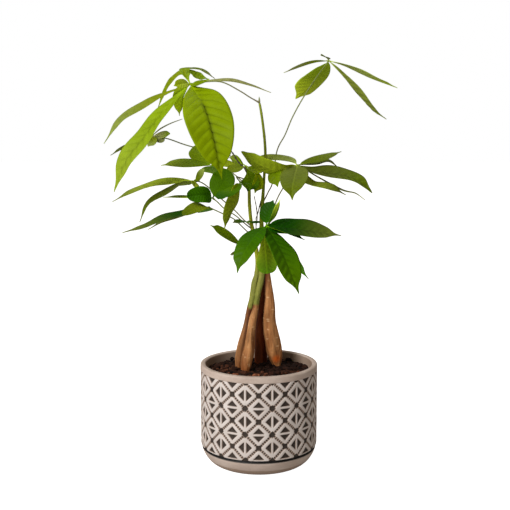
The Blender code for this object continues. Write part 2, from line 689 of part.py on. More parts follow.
def main():
    clear_scene()
    plant = new_collection("potted_money_tree")
    cutters = new_collection("cutters")
    ceramic = new_material("ceramic", (0.52, 0.44, 0.37), 0.55)
    earth = new_material("earth", (0.035, 0.018, 0.01), 0.95)
    bark = new_material("bark", (0.30, 0.17, 0.075), 0.75)
    foliage = new_material("foliage", (0.10, 0.26, 0.02), 0.45)
    make_pot(plant, cutters, ceramic)
    make_soil(plant, cutters, earth)
    for name in STEMS:
        make_stem(name, plant, bark)
    for name in LEAVES:
        make_leaf(name, plant, foliage)


main()
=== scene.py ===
"""Looks of a small money tree in a carved round pot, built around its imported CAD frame.

Sizes are in millimetres until a mesh is made. +Z is up, -Y is the front, and the origin is the
middle of the pot's flat base, as in the frame. Every shape is a surface worked out with numpy: a
grid of points over two parameters, or a ring carried along a route.
"""

import json
import math

import bpy
import numpy as np
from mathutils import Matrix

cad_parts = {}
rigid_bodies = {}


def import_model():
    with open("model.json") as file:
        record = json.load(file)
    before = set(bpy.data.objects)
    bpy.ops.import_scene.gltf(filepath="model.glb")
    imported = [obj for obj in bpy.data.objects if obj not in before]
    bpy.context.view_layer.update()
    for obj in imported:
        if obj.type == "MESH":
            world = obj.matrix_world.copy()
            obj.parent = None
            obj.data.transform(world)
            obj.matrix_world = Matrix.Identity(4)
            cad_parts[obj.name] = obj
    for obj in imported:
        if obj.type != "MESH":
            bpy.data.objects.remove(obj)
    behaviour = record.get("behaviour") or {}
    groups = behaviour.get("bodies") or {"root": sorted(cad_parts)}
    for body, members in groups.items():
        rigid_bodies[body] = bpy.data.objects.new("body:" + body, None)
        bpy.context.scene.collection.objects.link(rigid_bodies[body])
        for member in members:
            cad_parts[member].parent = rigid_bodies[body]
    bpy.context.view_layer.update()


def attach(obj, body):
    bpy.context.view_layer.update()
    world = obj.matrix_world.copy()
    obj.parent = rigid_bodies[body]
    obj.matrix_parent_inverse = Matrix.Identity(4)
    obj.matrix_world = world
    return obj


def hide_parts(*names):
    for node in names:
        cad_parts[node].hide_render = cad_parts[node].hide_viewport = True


MM = 0.001
SEED = 7

# Camera: its lens in millimetres, its place in metres and its turns in radians.
LENS = 60
CAMERA_PLACE = (0, -0.8545, 0.320)
CAMERA_PITCH = 0.1236
CAMERA_YAW = 0.0046

# Each light: name, where it stands in metres, its size in metres and its power in watts.
LIGHTS = (
    ("key", (-1.0, -1.25, 1.15), 1.0, 36.0),
    ("top", (0.2, 0.3, 1.5), 1.0, 4.0),
)
# The linear colours of the light from all round and of the floor, and how brightly the floor
# shines, to the camera alone.
SURROUND = (0.205, 0.177, 0.15)
FLOOR = (0.62, 0.60, 0.58)
FLOOR_LIFT = 1.05

# Pot. Its base is rounded by a superellipse whose power is BASE_FULLNESS.
POT_RADIUS = 60.0
POT_HEIGHT = 103.0
POT_WALL = 5.5
POT_FLOOR = 7.0
BASE_RADIUS = 44.0
BASE_ROUNDING = 23.0
BASE_FULLNESS = 1.8
RIM_ROUNDING = 1.8
INNER_CORNER = 6.0
INNER_RING = 4.0
POT_WOBBLE = 0.09
POT_SIDES = 224

# Lattice on the pot's wall: how its rows and columns lie, the half widths of what is carved, the
# slope above the groove, how far the band's two edges are tucked in, and how far behind the wall
# its plain back lies.
COLUMNS = 28
COLUMN_STEP = 2 * math.pi * POT_RADIUS / COLUMNS
ROW_STEP = 13.05
TOP_ROW = 84.4
LATTICE_TOP = 96.2
GROOVE_TOP = 18.4
GROOVE_BOTTOM = 16.6
CARVING_DEPTH = 1.3
EDGE_SOFTNESS = 0.32
SQUARE_HALF = 2.55
DIAMOND_HALF = 3.4
BAR_HALF = 1.2
TRIANGLE_TIP = 6.8
TRIANGLE_HALF = 5.45
LINE_HALF = 1.1
LINE_DEPTH = 0.34
TOOTH_HALF = 0.62
TOOTH_PITCH = 2.45
GROOVE_SLOPE = (0.35, 0.85)
EDGE_ROW = 0.15
EDGE_TUCK = 0.3
BAND_WOBBLE = 0.05
LATTICE_BACK = 3.2
LATTICE_AROUND = 672
LATTICE_ROWS = 132

# Soil. Each wave gives its height, how fast it runs along x and y in radians a millimetre, and
# its shift.
SOIL_TOP = 94.0
SOIL_UNDERSIDE = 84.0
SOIL_HEAP = 1.5
HEAP_RADIUS = 30.0
SOIL_WAVES = (
    (0.45, 0.21, 0.17, 1.3),
    (0.45, 0.21, -0.17, 1.3),
    (0.54, 0.43, -0.31, 0.0),
    (0.45, 0.53, 0.37, 3.6),
)
SOIL_RINGS = 100
SOIL_SIDES = 260
LUMPS = 900
LUMP_WIDTHS = (0.9, 2.8)
LUMP_SHARES = (0.3, 1.0)
LUMP_HEIGHT = 0.62
CRUMBS = 620
# The least size of a crumb, and how much the largest adds to it.
CRUMB_SIZES = (0.65, 2.5)
# How many of the crumbs lie against each stem's foot.
FOOT_CRUMBS = 16
# Where reddish-brown crumbs gather on the dark soil: middle across and along, reach and share.
BROWN_SPOTS = (
    (-29, -20, 12, 1.0), (1, -22, 8, 1.0), (34, -14, 10, 0.4), (-10, -30, 12, 0.5),
    (-36, 4, 9, 0.5),
)

# Stems and stalks
STEM_SIDES = 40
STEM_STEP = 0.8
# How much wider than in the CAD the green upper stems are drawn, as a share.
STEM_SWELL = 0.15
# The height of the bark's ribs and slow waves on thin stems, what thick ones add, and the leaf
# scars' height, all as shares of the radius; then how far apart the scars lie and their width.
RIBS = (0.035, 0.02)
SLOW_WAVES = (0.01, 0.03)
SCARS = 0.10
SCAR_STEP = 23
SCAR_WIDTH = 1.3
# How far from another stem the painted shade between them reaches.
GAP_SHADE_REACH = 7.0
STALK_RADIUS = 0.62
STALK_SIDES = 12
STALK_STEP = 0.8
TWIG_SIDES = 10
BUD_SIDES = 14
BUD_ROWS = 18

# Leaflets. The petiolule is the bare foot of a leaflet's rib, the fold is how steeply its halves
# rise from the rib, and the usual shape gives how far along it is widest, and its fullness.
BLADE_ROWS = 84
BLADE_ACROSS = 23
BLADE_THICKNESS = 0.45
PETIOLULE = 3.0
FULLNESS = 0.82
FOLD = 0.15
USUAL_SHAPE = (0.55, 1.0)
# How many side veins a long blade has, the least and the most room between two of them, and how
# high the blade swells there, as a share of that room.
SIDE_VEINS = 11
VEIN_ROOM = (3.2, 9.5)
PILLOW = 0.045
# How high the edge waves, as a share of the half width, and how far apart along the blade.
RIPPLE = 0.055
RIPPLE_STEP = 7.5
# The midrib's groove above and its keel below: depth and half width.
RIB_GROOVE = (0.35, 0.9)
RIB_KEEL = (0.55, 0.7)
# How much narrower the blade is in its last fifth, as a share.
DRIP_TIP = 0.62
# How far forward the blades may reach, which is as far as the solids do.
FRONT_LIMIT = -86.2

# The middle of the worn orange spot low on the right stem, in metres.
ORANGE_SPOT = (0.0188, 0.0078, 0.1035)
# Each stem's look: its share of light, from 0 in the shade at the back to 1, which darkens its
# bark and green as painted shade; how much its bark is painted brighter or darker for the
# light on it, as a factor; and where it turns green, as the middle height and the length of
# the change.
STEM_LOOKS = {
    "stem_right": (0.6, 1.24, 222, 26),
    "stem_front": (0.7, 0.93, 163, 8),
    "stem_left": (1.0, 0.84, 160, 8),
    "stem_back": (0.0, 1.25, 214, 30),
}

# Dry twigs: the points of each one's middle line, and its radius at each of them.
TWIGS = {
    "twig_left": (
        ((-11.2, -1, 292), (-13, -3, 300), (-20, -6, 307), (-25, -8, 315), (-28, -9, 319)),
        (0.9, 0.75, 0.7, 0.65, 0.45),
    ),
    "twig_middle": (
        ((-3.0, 2, 238), (-2.7, -2, 246), (-1.7, -3, 254), (-2.8, -4, 264), (-4.8, -4, 274)),
        (0.5, 0.5, 0.5, 0.45, 0.3),
    ),
    "twig_side": (
        ((2.6, 1.5, 270), (1.0, -1, 265), (-0.4, -2, 259), (-1.6, -3, 255), (-3.6, -3, 250)),
        (0.5, 0.5, 0.45, 0.4, 0.3),
    ),
}
# The bud at the tallest stem's tip: its base, its tip and its radius.
BUD = ((0.4, 0, 364.5), (0.2, 0, 372), 1.1)

# Each stem's middle line from its root to its tip: x, y, z and the stem's radius there.
STEMS = {
    "stem_right": (
        (18.2, 16, 72, 3.2), (18.4, 16, 90, 3.6), (18.4, 16, 96, 4.6), (18.1, 16, 100, 6.0),
        (17.4, 15.6, 105, 7.4), (16.2, 15, 111, 8.3), (14.6, 13, 120, 8.3), (12.2, 11, 132, 7.6),
        (10.9, 9, 147, 6.2), (11.2, 5, 166, 4.4),
        (9.9, 3, 180, 3.6), (8.5, 1, 194, 2.8), (6.2, 3, 208, 2.3), (3.7, 4, 224, 2.0),
        (2.6, 3, 249, 1.8), (3.6, 1, 266, 1.6), (4.6, 0, 282, 1.3), (5.6, 0, 299, 1.2),
        (6.4, 0, 314, 1.2), (5.7, 0, 329, 1.15), (4.0, 0, 344, 1.1), (2.3, 0, 356, 1.05),
        (0.5, 0, 366, 1.0),
    ),
    "stem_front": (
        (-13.8, -10, 72, 2.8), (-13.8, -10, 91, 3.1), (-13.8, -9.8, 97, 4.3),
        (-13.4, -9.5, 102, 5.3), (-12.5, -9, 107, 5.8), (-10.9, -8, 113, 5.9),
        (-9.2, -6, 122, 5.3), (-8.0, -4, 134, 4.3), (-6.2, -2, 147, 3.9), (-3.4, 0, 159, 2.9),
        (-1.9, 0, 168, 2.4), (-0.6, -1, 176, 2.5), (1.5, -1, 185, 2.7), (3.2, -2, 195, 2.6),
        (3.6, -6, 210, 2.1), (4.6, -14, 226, 1.6), (6.0, -25, 238, 1.3),
    ),
    "stem_left": (
        (-20.6, 6, 72, 2.6), (-20.6, 6, 91, 2.9), (-20.4, 6, 97, 3.7), (-20, 6, 103, 4.5),
        (-18.9, 6, 110, 4.8), (-17.0, 5, 120, 4.6), (-13.8, 5, 132, 4.2), (-11.0, 6, 146, 3.7),
        (-8.9, 4, 159, 3.0), (-6.8, 2, 168, 2.8), (-5.6, 2, 176, 2.8), (-4.4, 2, 185, 2.8),
        (-1.9, 3, 194, 2.5),
        (-1.4, 4, 206, 2.0), (-2.9, 4, 219, 1.8), (-5.5, 2, 235, 1.7), (-8.0, 1, 248, 1.6),
        (-9.5, 0, 265, 1.5), (-9.9, 0, 282, 1.4), (-11.5, 0, 293, 1.2),
    ),
    "stem_back": (
        (1.8, 31, 72, 4.8), (2.0, 29, 92, 6.2), (2.2, 26, 108, 6.8), (1.8, 22, 127, 6.0),
        (2.2, 18, 146, 4.9), (3.6, 13, 162, 3.7), (5.0, 11, 179, 2.3), (5.6, 11, 193, 2.0),
        (6.8, 11, 209, 1.8), (8.8, 9, 228, 1.6), (10.3, 8, 246, 1.4),
    ),
}

# Each compound leaf: the route of its stalk from the middle line of its stem to the hub, and its
# leaflets. A leaflet gives the points of its rib after the hub, the last of them its tip, then its
# width, the way in which its upper face looks and, where they aren't USUAL_SHAPE's, how far along
# the blade it is widest, and its fullness: below 1 it stays wide for longer and ends more bluntly.
LEAVES = {
    "leaf_top_left": {
        "stalk": ((0.5, 0, 366), (-9, -4, 371), (-19, -8, 377), (-36, -13, 385), (-54, -15, 385),
                  (-67, -15, 383)),
        "leaflets": (
            (((-52, -46, 361), (-42, -62, 330), (-34, -66, 292)),
             45, (0.1, -0.9, 0.4), 0.48, 1.4),
            (((-94, -22, 355), (-111, -30, 331), (-128, -34, 308), (-140, -33, 279)),
             27, (-0.5, -0.6, 0.5), 0.6, 0.87),
            (((-96, -8, 372), (-117, 2, 361), (-138, 12, 350), (-158, 18, 326)),
             22, (-0.6, -0.4, 0.7), 0.64),
            (((-76, 4, 396), (-88, 12, 388), (-95, 20, 378), (-104, 24, 360)),
             12, (-0.8, -0.4, 0.4), 0.68, 0.86),
            (((-78, -6, 373), (-79, 0, 353)), 15, (-0.6, -0.8, 0.1), 0.48, 1.2),
            (((-71, -24, 383), (-81, -34, 380)), 10, (0.3, -0.8, 0.4), 0.54, 0.8),
            (((-74, 6, 398), (-60, 18, 400), (-45, 30, 392)), 12, (0.1, 0, 1)),
            (((-70, 0, 395), (-62, 8, 393), (-51, 12, 390)), 12, (0.1, -0.7, 0.7), 0.72),
            (((-50, -10, 386), (-28, 0, 387), (-7, 10, 383), (12, 16, 377)),
             18, (0.1, -0.2, 0.9), 0.6),
            (((-55, -25, 383), (-47, -38, 386)), 11, (0, -0.7, 0.7), 0.38, 0.85),
        ),
    },
    "leaf_top_right": {
        "stalk": ((3.6, 1, 266), (9.4, 8, 277), (14.3, 18, 288), (18.4, 24, 318),
                  (26.7, 20, 335), (33.7, 14, 352), (44, 7, 371), (57, 2, 391), (69, 0, 407)),
        "leaflets": (
            (((65, 12, 400), (55, 28, 388), (38, 40, 372)), 30, (-0.3, 0.6, 0.8), 0.6, 0.8),
            (((55, -4, 405), (40, -10, 400), (24, -14, 394)), 12, (-0.4, 0.1, 0.9)),
            (((85, 2, 402), (110, 6, 391), (138, 8, 381)), 24, (0.4, 0, 0.9)),
            (((82, -8, 392), (95, -18, 375), (110, -22, 358), (123, -24, 349)),
             23, (0.8, 0.1, 0.7)),
            (((67, 10, 411), (62, 18, 414)), 9, (0.4, -0.1, 0.9)),
        ),
    },
    "leaf_right": {
        "stalk": ((10.3, 8, 246), (14, 5, 258), (18.5, 0, 271), (24, -8, 282), (31, -13, 294),
                  (38, -15, 305)),
        "leaflets": (
            (((60, -8, 310), (82, -2, 318)), 18, (-0.2, -0.3, 0.9), 0.45),
            (((55, 4, 306), (70, 10, 308), (83, 14, 300)), 15, (0.2, -0.2, 0.9)),
            (((53, -20, 299), (78, -24, 296), (96, -27, 290), (110, -28, 278)),
             29, (0.3, -0.4, 0.9), 0.53, 0.74),
            (((48, -34, 288), (69, -42, 283), (83, -44, 277)), 23, (0.1, -0.2, 1), 0.62),
            (((34, -42, 295), (31, -60, 284), (31, -64, 273)), 27, (-0.1, -0.6, 0.8), 0.5),
            (((31, -2, 309), (11, 14, 311), (-9, 22, 308)), 19, (-0.1, -0.3, 0.9), 0.62, 0.7),
            (((24, -24, 299), (10, -32, 302), (-4, -34, 308), (-17, -32, 318)),
             22, (0, 0.6, 0.8), 0.52, 0.7),
            (((17, -26, 299), (18, -36, 284)), 15, (-0.5, -0.6, 0.6), 0.7),
            (((58, -20, 293), (80, -26, 281), (93, -32, 278), (102, -36, 272)),
             7, (0.2, -0.1, 0.9)),
        ),
    },
    "leaf_centre": {
        "stalk": ((-11.5, 0, 293), (-12.5, -3, 299), (-13, -4, 304)),
        "leaflets": (
            (((-8, -14, 291), (-11, -20, 279)), 18, (0, -0.8, 0.6), 0.68),
            (((-1, -13, 294), (-4, -17, 277)), 12, (0.5, -0.5, 0.7), 0.7),
            (((-22, -8, 301), (-33, -10, 300)), 13, (-0.1, -0.6, 0.8), 0.55, 0.8),
            (((-21, 2, 308), (-30, 6, 312)), 14, (0.6, 0.6, 0.6)),
            (((-5, -8, 300), (3, -10, 297)), 11, (0.1, -0.6, 0.8), 0.5, 0.7),
        ),
    },
    "leaf_back": {
        "stalk": ((-9.9, 0, 281), (-18, 9, 289), (-30, 16, 298), (-47, 22, 304)),
        "leaflets": (
            (((-73, 18, 305), (-100, 16, 304)), 25, (0.1, -0.3, 0.9), 0.42),
            (((-57, 30, 312), (-71, 36, 320)), 19, (-0.2, -0.8, 0.5), 0.6, 0.5),
            (((-30, 32, 304), (-18, 44, 303)), 22, (0.2, -0.3, 0.9)),
            (((-49, 52, 297), (-44, 84, 292)), 26, (0, 0.2, 1)),
        ),
    },
    "leaf_hanging": {
        "stalk": ((-10.6, 0, 287), (-15, 0.5, 290.5), (-20.5, -3, 292.5), (-22, -12, 292.5),
                  (-18, -22, 288)),
        "leaflets": (
            (((-27, -46, 280), (-38, -60, 274)), 20, (-0.3, -0.5, 0.8), 0.62, 0.6),
            (((-22, -36, 276), (-28, -44, 263), (-33, -46, 244)), 19, (-0.8, 0.5, 0.1), 0.42),
            (((-13, -30, 287), (-8, -34, 281)), 14, (0.3, -0.3, 0.8)),
        ),
    },
    "leaf_left_upper": {
        "stalk": ((-7.2, 1.3, 243), (-15, 4, 249), (-25, 7, 259), (-38, 9, 270), (-51, 6, 282),
                  (-58, 3, 287), (-65, 0, 289)),
        "leaflets": (
            (((-88, 8, 287), (-111, 12, 283), (-131, 14, 276), (-150, 15, 267)),
             26, (-0.3, -0.2, 0.9), 0.5),
            (((-78, -4, 286), (-94, -8, 276), (-110, -10, 266), (-119, -10, 248)),
             19, (-0.5, -0.3, 0.8), 0.5),
            (((-72, 30, 284), (-81, 62, 283)), 24, (-0.2, 0, 0.9)),
            (((-60, -6, 293), (-54, -10, 301)), 9, (-0.5, -0.8, 0.3), 0.5, 0.7),
            (((-63, -16, 286), (-61, -24, 281)), 9, (0.5, -0.6, 0.6)),
        ),
    },
    "leaf_left_middle": {
        "stalk": ((-6.4, 1.6, 240), (-13, -2, 245), (-23, -6, 254), (-35, -9, 262),
                  (-41, -10, 268), (-46, -10, 272)),
        "leaflets": (
            (((-54, -26, 276), (-69, -38, 275)), 17, (0.1, -0.9, 0.3), 0.5, 0.5),
            (((-69, -2, 272), (-97, 8, 272)), 15, (0, -0.1, 1)),
            (((-39, -14, 282), (-34, -18, 291), (-32, -20, 301)),
             28, (-0.2, -0.8, 0.4), 0.5, 0.55),
            (((-41, 12, 285), (-34, 44, 288)), 15, (0, -0.1, 1)),
        ),
    },
    "leaf_left_lower": {
        "stalk": ((-5.5, 2, 235), (-11.6, -3, 238), (-22.5, -8, 249), (-28, -11, 253),
                  (-36, -15, 257), (-50, -20, 264)),
        "leaflets": (
            (((-69, -30, 259), (-90, -44, 254), (-109, -52, 247), (-129, -56, 242)),
             24, (-0.2, -0.2, 0.9), 0.28, 0.8),
            (((-57, -34, 265), (-72, -48, 258)), 16, (0.3, -0.2, 0.9), 0.42, 0.5),
            (((-79, -26, 254), (-95, -24, 249), (-109, -22, 242)), 15, (-0.3, -0.1, 0.9)),
            (((-56, 2, 258), (-63, 24, 255)), 20, (0, 0.2, 1)),
        ),
    },
    "leaf_far_left": {
        "stalk": ((-10.7, 0, 289), (-12.5, 6, 297), (-21, 15, 308), (-38, 32, 317),
                  (-56, 42, 320), (-71, 44, 323), (-81, 44, 326), (-95, 38, 331), (-111, 34, 334)),
        "leaflets": (
            (((-104, 30, 334), (-91, 24, 336)), 9, (-0.3, -0.8, 0.5), 0.56, 0.65),
            (((-105, 28, 331), (-97, 26, 329)), 8, (-0.2, -0.8, 0.5), 0.66, 0.55),
            (((-103, 40, 341), (-93, 48, 347), (-81, 54, 352)), 6, (-0.3, -0.1, 0.9)),
            (((-129, 36, 326), (-143, 34, 320), (-154, 32, 314)), 13, (-0.4, -0.3, 0.8)),
            (((-109, 24, 328), (-113, 18, 323)), 11, (-0.3, -0.8, 0.5), 0.6, 0.75),
        ),
    },
    "leaf_front": {
        "stalk": ((6, -25, 238), (6.3, -30, 242), (7, -38, 247)),
        "leaflets": (
            (((-2, -56, 241), (-10, -72, 231), (-17, -80, 219), (-20, -82, 207)),
             23, (-0.3, -0.7, 0.7), 0.5),
            (((14, -56, 237), (23, -72, 222), (37, -84, 188)), 28, (0.5, -0.7, 0.6), 0.52),
            (((25, -44, 246), (44, -50, 244), (78, -54, 239)), 31, (0.1, -0.5, 0.9), 0.36),
            (((25, -54, 242), (43, -62, 236)), 16, (0.2, -0.1, 0.9)),
            (((9, -30, 259), (14, -26, 271)), 17, (-0.3, -0.8, 0.4), 0.5, 0.8),
            (((13, -44, 254), (17, -46, 263), (20, -48, 273)), 9, (-0.7, 0.5, 0.6)),
            (((6, -46, 232), (7, -50, 217), (8, -50, 202)), 20, (0.2, 0.9, 0.2), 0.78, 0.5),
            (((24, -38, 227), (39, -42, 206), (48, -44, 196)), 18, (0.8, 0.5, 0.5)),
        ),
    },
    "leaf_low_left": {
        "stalk": ((-4, 3.3, 226), (-9, -3, 223), (-16, -14, 225)),
        "leaflets": (
            (((-30, -24, 235), (-47, -32, 247)), 16, (0.7, -0.4, 0.6)),
            (((-21, -2, 219), (-28, 10, 212)), 12, (-0.4, 0.1, 0.9)),
        ),
    },
    "leaf_young": {
        "stalk": ((-8, 1, 248), (-11, -4, 248)),
        "leaflets": (
            (((-19, -11, 249), (-26, -16, 248)), 7, (0, -0.5, 0.8)),
            (((-5, -10, 248), (2, -15, 248)), 6, (0, -0.4, 0.9)),
        ),
    },
}

# Leaf colours as they look in soft light, in 0-255 steps.
GREENS = {
    "lime": (120, 142, 0),
    "lime_pale": (136, 156, 38),
    "lime_deep": (105, 132, 0),
    "spring": (150, 172, 4),
    "glow": (168, 192, 14),
    "olive": (116, 130, 14),
    "olive_light": (140, 156, 28),
    "olive_pale": (160, 180, 44),
    "olive_grey": (100, 112, 38),
    "olive_dark": (88, 104, 6),
    "grass": (102, 124, 2),
    "fresh": (124, 150, 12),
    "vivid": (66, 124, 0),
    "meadow": (82, 120, 0),
    "leaf": (64, 100, 0),
    "deep": (50, 96, 0),
    "dark": (38, 84, 0),
    "shade": (18, 64, 0),
    "moss": (80, 90, 26),
    "smoke": (114, 120, 70),
    "ash": (148, 152, 88),
    "pale": (130, 144, 66),
}

# For each leaf, and each of its leaflets: the colour at the base and the colour at the tip, each
# the leaflet's own green with painted light and shade for how it is lit, and how much paler
# (above 0) or darker (below 0) the ribs are than the blade, the darker as painted shade of the
# midrib's fold.
TONES = {
    "leaf_top_left": (
        ("lime", "lime", -0.35), ("fresh", "lime_pale", -0.12), ("olive", "pale", 0.1),
        ("olive", "lime", 0.0), ("fresh", "spring", 0.0), ("olive_pale", "spring", 0.1),
        ("fresh", "smoke", 0.1), ("fresh", "fresh", 0.0), ("ash", "ash", 0.1),
        ("grass", "fresh", 0.1),
    ),
    "leaf_top_right": (
        ("grass", "olive_light", 0.0), ("olive_dark", "smoke", 0.1), ("pale", "lime_pale", 0.1),
        ("moss", "moss", 0.1), ("moss", "moss", 0.0),
    ),
    "leaf_right": (
        ("olive_dark", "olive_grey", 0.1), ("olive_dark", "moss", 0.0), ("moss", "grass", -0.05),
        ("olive_pale", "moss", 0.1), ("olive_grey", "olive_dark", 0.25),
        ("pale", "olive_light", 0.1), ("olive", "olive_dark", 0.05), ("grass", "grass", 0.0),
        ("moss", "smoke", 0.0),
    ),
    "leaf_centre": (
        ("lime_deep", "deep", -0.05), ("spring", "spring", 0.05), ("lime_pale", "olive", 0.1),
        ("grass", "olive_grey", 0.1), ("fresh", "glow", 0.1),
    ),
    "leaf_back": (
        ("lime_deep", "lime_pale", 0.1), ("fresh", "fresh", 0.0), ("spring", "glow", 0.1),
        ("meadow", "meadow", 0.0),
    ),
    "leaf_hanging": (
        ("meadow", "dark", 0.05), ("olive", "olive_dark", 0.05), ("meadow", "meadow", 0.0),
    ),
    "leaf_left_upper": (
        ("olive_pale", "olive_grey", 0.1), ("moss", "olive_dark", 0.1),
        ("olive_dark", "deep", 0.1), ("olive_dark", "pale", 0.1),
        ("olive_light", "olive_light", 0.1),
    ),
    "leaf_left_middle": (
        ("vivid", "deep", -0.05), ("olive_pale", "olive_pale", 0.1), ("leaf", "leaf", -0.05),
        ("dark", "deep", 0.0),
    ),
    "leaf_left_lower": (
        ("shade", "olive_grey", 0.05), ("olive", "olive_dark", 0.1), ("moss", "moss", 0.0),
        ("deep", "leaf", 0.0),
    ),
    "leaf_far_left": (
        ("ash", "grass", 0.2), ("smoke", "smoke", 0.2), ("smoke", "smoke", 0.0),
        ("moss", "moss", 0.0), ("olive", "pale", 0.1),
    ),
    "leaf_front": (
        ("deep", "leaf", 0.1), ("deep", "meadow", -0.1), ("shade", "olive_grey", -0.05),
        ("meadow", "shade", 0.0), ("dark", "dark", 0.0), ("leaf", "olive_pale", 0.1),
        ("olive", "leaf", 0.45), ("dark", "deep", 0.0),
    ),
    "leaf_low_left": (
        ("grass", "lime_deep", 0.05), ("moss", "moss", 0.0),
    ),
    "leaf_young": (
        ("deep", "moss", 0.0), ("dark", "shade", 0.0),
    ),
}


def colour(steps):
    """The linear colour for one given in 0-255 steps."""
    part = np.asarray(steps, float) / 255
    return np.where(part <= 0.04045, part / 12.92, ((part + 0.055) / 1.055) ** 2.4)


def fade(value, low, high):
    """0 below low, 1 above high, and a smooth S between them."""
    part = np.clip((value - low) / (high - low), 0, 1)
    return part * part * (3 - 2 * part)


def turns(count):
    """Evenly spaced angles once round."""
    return np.arange(count) * 2 * math.pi / count


def smooth_route(points, count):
    """A Catmull-Rom curve through the points, read at evenly spaced steps of its parameter."""
    points = np.asarray(points, float)
    padded = np.vstack([2 * points[0] - points[1], points, 2 * points[-1] - points[-2]])
    place = np.linspace(0, len(points) - 1, count)
    index = np.minimum(place.astype(int), len(points) - 2)
    part = (place - index)[:, None]
    a, b, c, d = (padded[index + shift] for shift in range(4))
    return 0.5 * (
        2 * b
        + (c - a) * part
        + (2 * a - 5 * b + 4 * c - d) * part**2
        + (3 * b - a - 3 * c + d) * part**3
    )


def lengths(route):
    """How far along the route each of its points lies."""
    steps = np.linalg.norm(np.diff(route[:, :3], axis=0), axis=1)
    return np.concatenate([[0.0], np.cumsum(steps)])


def even_route(points, count):
    """A smooth curve through the points, as count rows that lie evenly far apart along it."""
    fine = smooth_route(points, 60 * len(points))
    run = lengths(fine)
    reach = np.linspace(0, run[-1], count)
    return np.stack([np.interp(reach, run, column) for column in fine.T], axis=1)


def unit(vectors):
    """The same directions with a length of 1."""
    return vectors / np.linalg.norm(vectors, axis=-1, keepdims=True)


def crosswise(route, reference):
    """Two unit vectors at right angles to a route at each of its points."""
    way = unit(np.gradient(route, axis=0))
    side = unit(np.cross(way, reference))
    return side, np.cross(way, side)


def waves(places, seed, size, octaves=4):
    """Smooth random values of about -1 to 1: sums of sine waves in random directions.

    Each octave adds six waves of half the last octave's length and height.
    """
    draw = np.random.default_rng(seed)
    total = np.zeros(places.shape[:-1])
    for octave in range(octaves):
        for _ in range(6):
            way = unit(draw.normal(size=places.shape[-1])) * 2 * math.pi / size * 2**octave
            phase = places @ way * draw.uniform(0.7, 1.3) + draw.uniform(0, 7)
            total += np.sin(phase) / 2**octave
    return total / 4


def grid_faces(rows, columns, around=False, over=False):
    """Quads between neighbouring points of a grid, closed round its columns or over its rows."""
    row = np.arange(rows if over else rows - 1)
    column = np.arange(columns if around else columns - 1)
    a, b = (grid.ravel() for grid in np.meshgrid(row, column, indexing="ij"))
    c, d = (a + 1) % rows, (b + 1) % columns
    return np.stack([a * columns + b, a * columns + d, c * columns + d, c * columns + b], axis=1)


def fan(ring, middle, turned):
    """Triangles from a ring of points, given by their numbers, to one point in its middle."""
    following = np.roll(ring, -1)
    order = (following, ring) if turned else (ring, following)
    return np.stack([*order, np.full(len(ring), middle)], axis=1)


def closed_rings(rings):
    """A grid of rings as a closed skin: points, quads round the rings and a fan over each end."""
    rows, columns = rings.shape[:2]
    ends = np.stack([rings[0].mean(axis=0), rings[-1].mean(axis=0)])
    points = np.vstack([rings.reshape(-1, 3), ends])
    first, last = np.arange(columns), (rows - 1) * columns + np.arange(columns)
    count = rows * columns
    caps = np.vstack([fan(first, count, True), fan(last, count + 1, False)])
    return points, grid_faces(rows, columns, around=True), caps


def over_rings(values):
    """An attribute of a grid of rings, with the values of its two end points after it."""
    flat = values.reshape(-1, *values.shape[2:])
    return np.concatenate([flat, values[0].mean(axis=0)[None], values[-1].mean(axis=0)[None]])


def tube_rings(route, radii, sides):
    """Rings round a route: its points plus the radius times the cosine of one crosswise vector
    and the sine of the other. The radii are one for each ring, or one for each of its points."""
    side, other = crosswise(route, (0.0, 1.0, 0.0))
    angle = turns(sides)[None, :, None]
    spokes = np.cos(angle) * side[:, None] + np.sin(angle) * other[:, None]
    radii = radii[:, None] if radii.ndim == 1 else radii
    return route[:, None] + radii[..., None] * spokes


def joined(parts):
    """Several (points, quads, triangles, attributes) as one."""
    points, quads, tris, start = [], [], [], 0
    for part in parts:
        points.append(part[0])
        quads.append(part[1] + start)
        tris.append(part[2] + start)
        start += len(part[0])
    values = {key: np.concatenate([part[3][key] for part in parts]) for key in parts[0][3]}
    return np.vstack(points), np.vstack(quads), np.vstack(tris), values


def add_piece(name, points, quads, tris, values, material, slot, nodes=()):
    """A mesh from arrays of points and faces, with named values at its points, which rides on
    the one body."""
    mesh = bpy.data.meshes.new(name)
    mesh.vertices.add(len(points))
    mesh.vertices.foreach_set("co", (points * MM).astype(np.float32).ravel())
    corners = np.concatenate([quads.ravel(), tris.ravel()]).astype(np.int32)
    sizes = np.concatenate([np.full(len(quads), 4), np.full(len(tris), 3)])
    mesh.loops.add(len(corners))
    mesh.loops.foreach_set("vertex_index", corners)
    mesh.polygons.add(len(sizes))
    mesh.polygons.foreach_set("loop_start", (np.cumsum(sizes) - sizes).astype(np.int32))
    mesh.update(calc_edges=True)
    for key, array in values.items():
        if array.ndim == 2:
            layer = mesh.attributes.new(key, "FLOAT_COLOR", "POINT")
            array = np.c_[array, np.ones(len(array))]
            layer.data.foreach_set("color", array.astype(np.float32).ravel())
        else:
            layer = mesh.attributes.new(key, "FLOAT", "POINT")
            layer.data.foreach_set("value", array.astype(np.float32))
    mesh.materials.append(material)
    mesh.shade_smooth()
    piece = bpy.data.objects.new(name, mesh)
    bpy.context.scene.collection.objects.link(piece)
    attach(piece, "root")
    if nodes:
        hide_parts(*nodes)
    return piece


def add_rings(name, rings, values, material, slot, nodes=()):
    """A closed skin over rings, with each value given for every ring or for every point."""
    spread = {}
    for key, array in values.items():
        array = array[:, None] if array.ndim == 1 else array
        spread[key] = over_rings(np.broadcast_to(array, rings.shape[:2]))
    add_piece(name, *closed_rings(rings), spread, material, slot, nodes)


